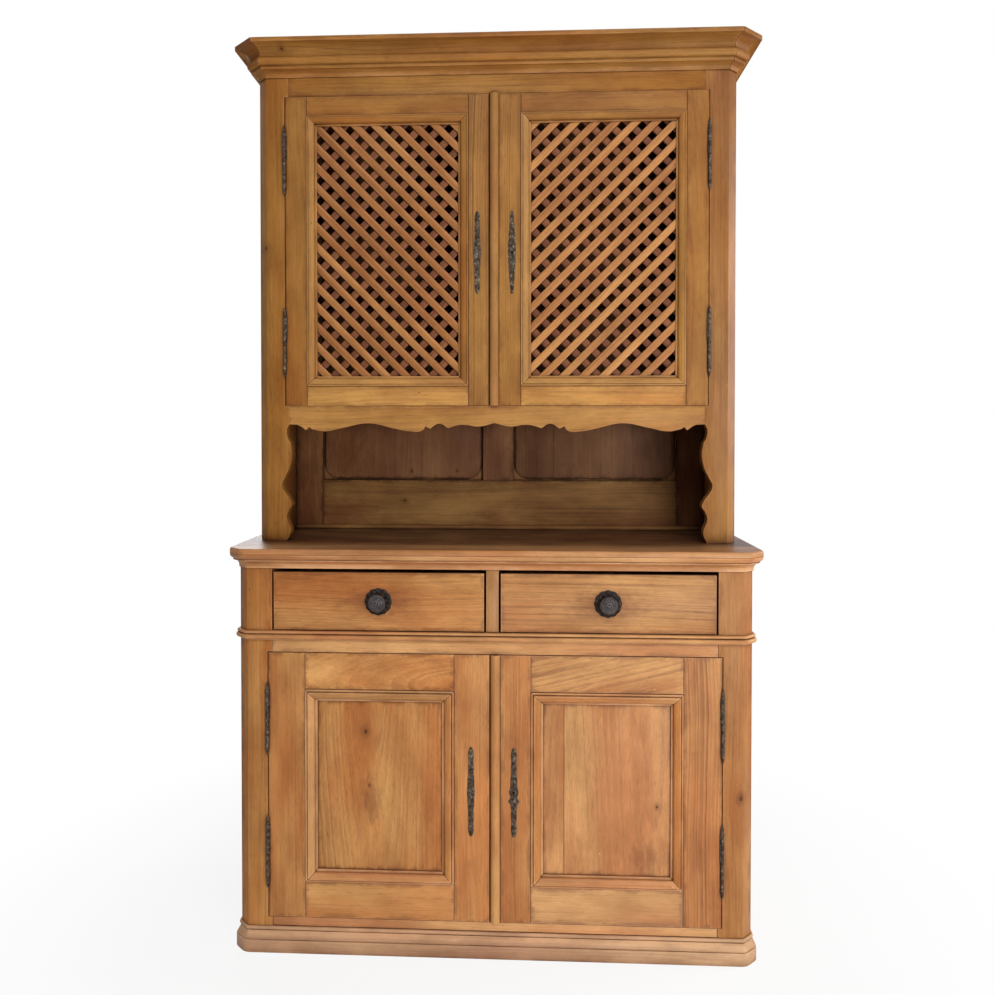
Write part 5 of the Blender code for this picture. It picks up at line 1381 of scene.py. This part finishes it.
def add_slat(bm, middle, direction, half_length, across, depths, bounds):
    """One lattice slat with eased front arrises, cut off square to the window."""
    front_y, back_y = depths
    half = SLAT_WIDTH / 2
    crown = arc(0, front_y + SLAT_CROWN, half, SLAT_CROWN, 180, 360)
    section = [(-half, back_y)] + crown + [(half, back_y)]
    loops = []
    for end in (-half_length, half_length):
        base = middle + direction * end
        loops.append([(base.x + across.x * side, y, base.z + across.z * side) for side, y in section])
    slat = loft(loops)
    low_x, low_z, high_x, high_z = bounds
    cuts = (((low_x, 0, 0), (-1, 0, 0)), ((high_x, 0, 0), (1, 0, 0)))
    cuts += (((0, 0, low_z), (0, 0, -1)), ((0, 0, high_z), (0, 0, 1)))
    for place, normal in cuts:
        geometry = slat.verts[:] + slat.edges[:] + slat.faces[:]
        cut = bmesh.ops.bisect_plane(slat, geom=geometry, plane_co=place, plane_no=normal, clear_outer=True)
        rim = [item for item in cut["geom_cut"] if isinstance(item, bmesh.types.BMEdge)]
        if rim:
            bmesh.ops.contextual_create(slat, geom=rim)
    mesh = bpy.data.meshes.new("slat")
    slat.to_mesh(mesh)
    slat.free()
    bm.from_mesh(mesh)
    bpy.data.meshes.remove(mesh)


def build_lattice(name, side):
    """Two layers of crossed slats, and the battens behind the moulding that hold them."""
    node = name + "_lattice"
    low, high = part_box(node)
    half_x = (high.x - low.x) / 2 - SLAT_ANCHOR
    half_z = (high.z - low.z) / 2 - SLAT_ANCHOR
    centre = (low + high) / 2
    bounds = (centre.x - half_x, centre.z - half_z, centre.x + half_x, centre.z + half_z)
    reach = half_x + half_z
    count = int(reach / (SLAT_PITCH * 2 ** 0.5)) + 1
    rear_y = low.y + SLAT_THICKNESS + SLAT_LAYER_GAP
    layers = (
        ("front", (low.y, low.y + SLAT_THICKNESS), -side, FRONT_SLAT_SHIFT, FRONT_SLATS),
        ("rear", (rear_y, high.y), side, REAR_SLAT_SHIFT, REAR_SLATS),
    )
    for layer, depths, lean, shift, finish in layers:
        turn = Matrix.Rotation(lean * pi / 4, 3, "Y")
        direction, across = turn @ Vector((1, 0, 0)), turn @ Vector((0, 0, 1))
        bm = bmesh.new()
        for index in range(-count, count + 1):
            middle = Vector((centre.x, 0, centre.z)) + across * (index * SLAT_PITCH + shift)
            slat_reach = abs(middle.x - centre.x) + reach
            add_slat(bm, middle, direction, slat_reach, across, depths, bounds)
        add_wood(f"{name}_{layer}_slats", bm, name, [node], finish, direction)
    width = LATTICE_RING_WIDTH
    battens = (
        ("left", (low.x, low.z), (low.x + width, high.z), UPRIGHT_GRAIN),
        ("right", (high.x - width, low.z), (high.x, high.z), UPRIGHT_GRAIN),
        ("bottom", (low.x + width, low.z), (high.x - width, low.z + width), FRONT_GRAIN),
        ("top", (low.x + width, high.z - width), (high.x - width, high.z), FRONT_GRAIN),
    )
    for batten, (low_x, low_z), (high_x, high_z), grain in battens:
        low_corner = (low_x, high.y - SLAT_THICKNESS / 2, low_z)
        high_corner = (high_x, high.y + SLAT_LAYER_GAP, high_z)
        piece = f"{name}_batten_{batten}"
        board(piece, low_corner, high_corner, name, [node], REAR_SLATS, grain, ARRIS_EASE)


def knuckle_profile(length):
    """The barrel from its plain end to its acorn finial, with a ring at each end and one in the middle."""
    radius, ring = HINGE_RADIUS, HINGE_RING_HEIGHT
    neck, shoulder = radius - HINGE_RING_DEPTH, radius * HINGE_RING_SHOULDER
    profile = [(radius, 0), (radius, ring), (neck, ring * HINGE_RING_FADE)]
    middle_ring = zip((neck, shoulder, radius, shoulder, neck), HINGE_MIDDLE_RING)
    profile += [(around, length * share) for around, share in middle_ring]
    profile += [(neck, length - ring * HINGE_RING_FADE), (radius, length - ring), (radius, length)]
    profile += [(radius * share, length + HINGE_FINIAL_LENGTH * reach) for share, reach in HINGE_FINIAL]
    return profile


def build_hinges(name, side):
    """Each hinge as a knuckle with its pin on the post, and a knuckle with its leaf on the door."""
    frame_node = name + "_frame"
    barrel = knuckle_profile(HINGE_KNUCKLE_LENGTH)
    bore = HINGE_PIN_RADIUS + HINGE_CLEARANCE
    bore_top = HINGE_PIN_LENGTH + HINGE_CLEARANCE
    for end_name in ("top", "bottom"):
        node = name.replace("_door", f"_hinge_{end_name}")
        low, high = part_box(node)
        axis = Vector(((low.x + high.x) / 2, (low.y + high.y) / 2, high.z - HINGE_PIN_LENGTH))
        profile = [(0, HINGE_PIN_LENGTH), (HINGE_PIN_RADIUS, HINGE_PIN_LENGTH), (HINGE_PIN_RADIUS, 0)]
        profile += [(radius, -distance) for radius, distance in barrel]
        add_iron(f"{name}_hinge_{end_name}_pin", turned(profile, axis), "carcass", [node])
        profile = [(0, bore_top), (bore, bore_top), (bore, HINGE_CLEARANCE)]
        profile += [(radius, distance + HINGE_CLEARANCE) for radius, distance in barrel]
        add_iron(f"{name}_hinge_{end_name}_sleeve", turned(profile, axis), name, [frame_node])
        lap_x = door_edge_x(name, side) - side * HINGE_LEAF_LAP
        grip_x = axis.x - side * HINGE_PIN_RADIUS * HINGE_LEAF_GRIP
        leaf_z = axis.z + (HINGE_KNUCKLE_LENGTH - HINGE_LEAF_HEIGHT) / 2
        leaf_low = (min(lap_x, grip_x), axis.y, leaf_z)
        leaf_high = (max(lap_x, grip_x), axis.y + HINGE_LEAF_DEPTH, leaf_z + HINGE_LEAF_HEIGHT)
        leaf = box(leaf_low, leaf_high)
        add_iron(f"{name}_hinge_{end_name}_leaf", leaf, name, [frame_node], ease=ARRIS_EASE)


def plate_half_width(share, shape):
    """Half width of a key plate at a share of its half length: wavy, eared, or a long leaf."""
    rise = abs(share)
    if shape == "leaf":
        taper = LEAF_TIP + (1 - LEAF_TIP) * max(0.0, 1 - rise ** LEAF_POWER)
        return PLATE_HALF_WIDTH * taper * (1 + LEAF_WAVE * cos(LEAF_WAVE_RATE * rise))
    belly = PLATE_BELLY * exp(-((rise / PLATE_BELLY_REACH) ** 2))
    body = PLATE_NECK + belly + PLATE_WAVE * cos(PLATE_WAVE_RATE * rise)
    beyond = max(0.0, (rise - PLATE_TIP_START) / (1 - PLATE_TIP_START))
    tip = max(0.0, 1 - beyond ** PLATE_TIP_POWER) ** 0.5
    width = PLATE_HALF_WIDTH * body * tip
    if shape == "eared":
        width += EAR_REACH * peak(share, EAR_PLACE, EAR_WIDTH) ** EAR_FULLNESS
        width += EAR_REACH * SHOULDER_SHARE * peak(share, SHOULDER_PLACE, SHOULDER_WIDTH)
    return width


def plate_relief(share, across, shape):
    """Height of a key plate's casting, from 0 to 1: leaves up a ribbed stem, with a boss in the middle."""
    rise = abs(share)
    dome = (1 - across * across) ** 0.5
    leaves = 0.5 + 0.5 * cos(2 * pi * (RELIEF_LEAVES * rise - RELIEF_SLANT * abs(across)))
    stem = peak(across, 0, RELIEF_STEM_WIDTH)
    boss = peak(share, 0, RELIEF_BOSS_WIDTH)
    ribs = 0.5 + 0.5 * cos(RELIEF_SHELL_RIBS * across)
    shell = ribs * peak(rise, RELIEF_SHELL_PLACE, RELIEF_SHELL_WIDTH)
    height = (DOME_HEIGHT + LEAVES_HEIGHT * leaves + SHELL_HEIGHT * shell) * dome + STEM_HEIGHT * stem
    if shape == "wavy":
        height += BOSS_HEIGHT * boss * dome
    else:
        height = height * (1 - boss) + KEY_FIELD_HEIGHT * dome * boss
    return min(1.0, height)


def key_plate(place, length, depth, shape):
    """A cast key plate with its leaves in relief, as a closed grid."""
    bm = bmesh.new()
    fronts, backs = [], []
    for row in range(PLATE_ROWS + 1):
        share = PLATE_END * (2 * row / PLATE_ROWS - 1)
        half = max(plate_half_width(share, shape), PLATE_LEAST_HALF_WIDTH)
        front, back = [], []
        for column in range(PLATE_COLUMNS + 1):
            across = -1 + 2 * column / PLATE_COLUMNS
            x, z = place.x + half * across, place.z + share * length / 2
            rise = PLATE_EDGE_HEIGHT + (depth - PLATE_EDGE_HEIGHT) * plate_relief(share, across, shape)
            front.append(bm.verts.new((x, place.y - rise, z)))
            back.append(bm.verts.new((x, place.y, z)))
        fronts.append(front)
        backs.append(back)
    for row in range(PLATE_ROWS):
        for column in range(PLATE_COLUMNS):
            for grid in (fronts, backs):
                near, far = grid[row], grid[row + 1]
                bm.faces.new((near[column], near[column + 1], far[column + 1], far[column]))
        for column in (0, PLATE_COLUMNS):
            front, back = ((grid[row][column], grid[row + 1][column]) for grid in (fronts, backs))
            bm.faces.new(front + back[::-1])
    for row in (0, PLATE_ROWS):
        for column in range(PLATE_COLUMNS):
            front, back = (grid[row][column:column + 2] for grid in (fronts, backs))
            bm.faces.new(front + back[::-1])
    return bm


def cut_keyhole(obj, place, reach):
    """Cut a round eye over a straight slot into a piece, as far as reach before and behind a place."""
    half_slot = KEYHOLE_SLOT_WIDTH / 2
    opening = KEYHOLE_HALF_ANGLE - 90
    outline = arc(0, 0, KEYHOLE_RADIUS, KEYHOLE_RADIUS, opening, 180 - opening, 2 * ARC_STEPS)
    outline += [(-half_slot, -KEYHOLE_SLOT_LENGTH), (half_slot, -KEYHOLE_SLOT_LENGTH)]
    ends = (place.y - reach, place.y + reach)
    cutter = new_object("keyhole", loft([[(place.x + x, y, place.z + z) for x, z in outline] for y in ends]))
    cut = obj.modifiers.new("keyhole", "BOOLEAN")
    cut.operation = "DIFFERENCE"
    cut.object = cutter
    depsgraph = bpy.context.evaluated_depsgraph_get()
    obj.data = bpy.data.meshes.new_from_object(obj.evaluated_get(depsgraph))
    obj.modifiers.clear()
    bpy.data.objects.remove(cutter)


PLATE_SHAPES = {
    "lower_left_door": "wavy", "lower_right_door": "eared",
    "upper_left_door": "wavy", "upper_right_door": "leaf",
}


def build_key_plate(name, lock_stile):
    """The key plate of a door, and for a right-hand door the keyhole through it and into the lock stile."""
    node = name + "_escutcheon"
    place, depth, length = seat_of(node)
    shape = PLATE_SHAPES[name]
    casting = key_plate(place, length, depth, shape)
    plate = add_iron(f"{name}_key_plate", casting, name, [node], CAST_IRON)
    if shape != "wavy":
        cut_keyhole(plate, place, KEYHOLE_DEPTH)
        cut_keyhole(lock_stile, place, KEYHOLE_DEPTH)


def build_doors():
    for level in DOOR_LEVELS:
        for side_name, side in SIDES.items():
            name = f"{level.name}_{side_name}_door"
            node = name + "_frame"
            frame_low, frame_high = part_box(node)
            post_low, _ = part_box(f"{level.post}_{side_name}_post")
            edge_x = door_edge_x(name, side)
            low_x, high_x = sorted((edge_x, level.meeting_x + side * MEETING_GAP / 2))
            low_z = frame_low.z - DOOR_GAP + DOOR_REVEAL
            high_z = frame_high.z + DOOR_GAP - DOOR_REVEAL
            face_y = post_low.y - DOOR_PROUD
            back_y = face_y + level.thickness
            open_low, open_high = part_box(name + "_moulding")
            left_x, right_x = open_low.x - SEAT_GAP, open_high.x + SEAT_GAP
            hinge_inner_x = right_x if side > 0 else left_x
            heights = (low_z, high_z)
            stile = hinge_stile_section(hinge_inner_x, edge_x, face_y, back_y)
            add_upright(f"{name}_hinge_stile", stile, heights, name, [node], level.finish, BOARD_EASE)
            if side > 0:
                bead = meeting_bead_section(low_x, face_y, back_y)
                add_upright(f"{name}_meeting_bead", bead, heights, name, [node], level.finish, ARRIS_EASE)
                stile_low_x, stile_high_x = low_x + BEAD_WIDTH + JOINT_GAP, left_x
            else:
                stile_low_x, stile_high_x = right_x, high_x - MEETING_WEAR
            lock_stile = board(
                f"{name}_lock_stile", (stile_low_x, face_y, low_z), (stile_high_x, back_y, high_z), name,
                [node], level.finish, UPRIGHT_GRAIN,
            )
            rails = (
                ("bottom_rail", low_z, open_low.z - SEAT_GAP), ("top_rail", open_high.z + SEAT_GAP, high_z),
            )
            for rail, rail_low_z, rail_high_z in rails:
                low_corner = (left_x + JOINT_GAP, face_y, rail_low_z)
                high_corner = (right_x - JOINT_GAP, back_y, rail_high_z)
                board(f"{name}_{rail}", low_corner, high_corner, name, [node], level.finish, FRONT_GRAIN)
            build_door_moulding(level, name, face_y)
            if level.name == "upper":
                build_lattice(name, side)
            else:
                inset = Vector((level.moulding_width, 0, level.moulding_width))
                shown = (open_low + inset, open_high - inset)
                dress_wood(name + "_panel", level.finish, UPRIGHT_GRAIN, ARRIS_EASE, shown)
            build_hinges(name, side)
            build_key_plate(name, lock_stile)
        dress(f"{level.name}_lock", IRON, ARRIS_EASE)


def shown_to_eye(make):
    """1 for what the camera sees, straight, reflected or through glass, and 0 for light on the object."""
    path = make.add("ShaderNodeLightPath").outputs
    bounced = make.math("MAXIMUM", path["Is Glossy Ray"], path["Is Transmission Ray"])
    return make.math("MAXIMUM", path["Is Camera Ray"], bounced)


def build_stage():
    """A white floor that keeps the shadow near the dresser and melts into a white background."""
    bpy.ops.mesh.primitive_plane_add(size=2 * FLOOR_HALF_SIZE)
    floor = bpy.context.object
    floor.name = "studio_floor"
    material, make = new_material("studio_floor")
    coordinates = make.add("ShaderNodeTexCoord").outputs["Object"]
    distance = make.vector("LENGTH", make.vector("MULTIPLY", coordinates, (1, 1, 0)))
    far = make.remap(distance, FLOOR_SHADE_NEAR, FLOOR_SHADE_FAR, FLOOR_WHITE_NEAR, 1.0)
    paint = make.add("ShaderNodeBsdfDiffuse", {"Color": FLOOR_PAINT})
    glow = make.add("ShaderNodeEmission", {"Color": WHITE, "Strength": 1.0})
    melting = make.add("ShaderNodeMixShader", {0: make.times(far, shown_to_eye(make)), 1: paint, 2: glow})
    make.add("ShaderNodeOutputMaterial", {"Surface": melting})
    floor.data.materials.append(material)

    world = bpy.data.worlds.new("studio")
    bpy.context.scene.world = world
    world.use_nodes = True
    world.node_tree.nodes.clear()
    make = NodeMaker(world.node_tree)
    strength = make.math("MULTIPLY_ADD", shown_to_eye(make), 1 - AMBIENT, AMBIENT)
    sky = make.add("ShaderNodeBackground", {"Color": WHITE, "Strength": strength})
    make.add("ShaderNodeOutputWorld", {"Surface": sky})


def add_lamp(name, place, target, size, power):
    lamp = bpy.data.lights.new(name, "AREA")
    lamp.shape = "RECTANGLE"
    lamp.size, lamp.size_y = size
    lamp.energy = power
    obj = bpy.data.objects.new(name, lamp)
    obj.location = place
    obj.rotation_euler = (Vector(target) - Vector(place)).to_track_quat("-Z", "Y").to_euler()
    bpy.context.scene.collection.objects.link(obj)


def build_lights():
    add_lamp("high_front", place=(0.75, -4.45, 4.6), target=(0.0, 0.0, 1.0), size=(2.2, 1.8), power=114)
    add_lamp("low_front", place=(1.4, -2.8, 0.95), target=(0.0, 0.0, 0.85), size=(1.2, 1.2), power=52)
    add_lamp("rear", place=(-1.6, 4.2, 2.8), target=(0.0, 0.2, 1.0), size=(2.4, 2.0), power=70)
    add_lamp("right_side", place=(3.0, 0.45, 1.9), target=(0.5, 0.0, 1.4), size=(1.4, 1.8), power=54)


def build_camera():
    camera = bpy.data.cameras.new("photo_camera")
    camera.sensor_fit = "VERTICAL"
    camera.sensor_height = SENSOR_SIZE
    camera.lens = FOCAL_PIXELS * SENSOR_SIZE / PHOTO_HEIGHT
    camera.shift_x = (PHOTO_WIDTH / 2 - PRINCIPAL_POINT[0]) / PHOTO_HEIGHT
    camera.shift_y = (PRINCIPAL_POINT[1] - PHOTO_HEIGHT / 2) / PHOTO_HEIGHT
    obj = bpy.data.objects.new("photo_camera", camera)
    obj.location = CAMERA_PLACE
    obj.rotation_euler = (radians(90 + CAMERA_PITCH), 0, radians(CAMERA_YAW))
    bpy.context.scene.collection.objects.link(obj)
    bpy.context.scene.camera = obj


bpy.context.scene.view_settings.view_transform = "Standard"
build_camera()
build_carcass()
build_framed_back()
build_carcass_mouldings()
build_worktop()
build_drawers()
build_doors()
build_stage()
build_lights()
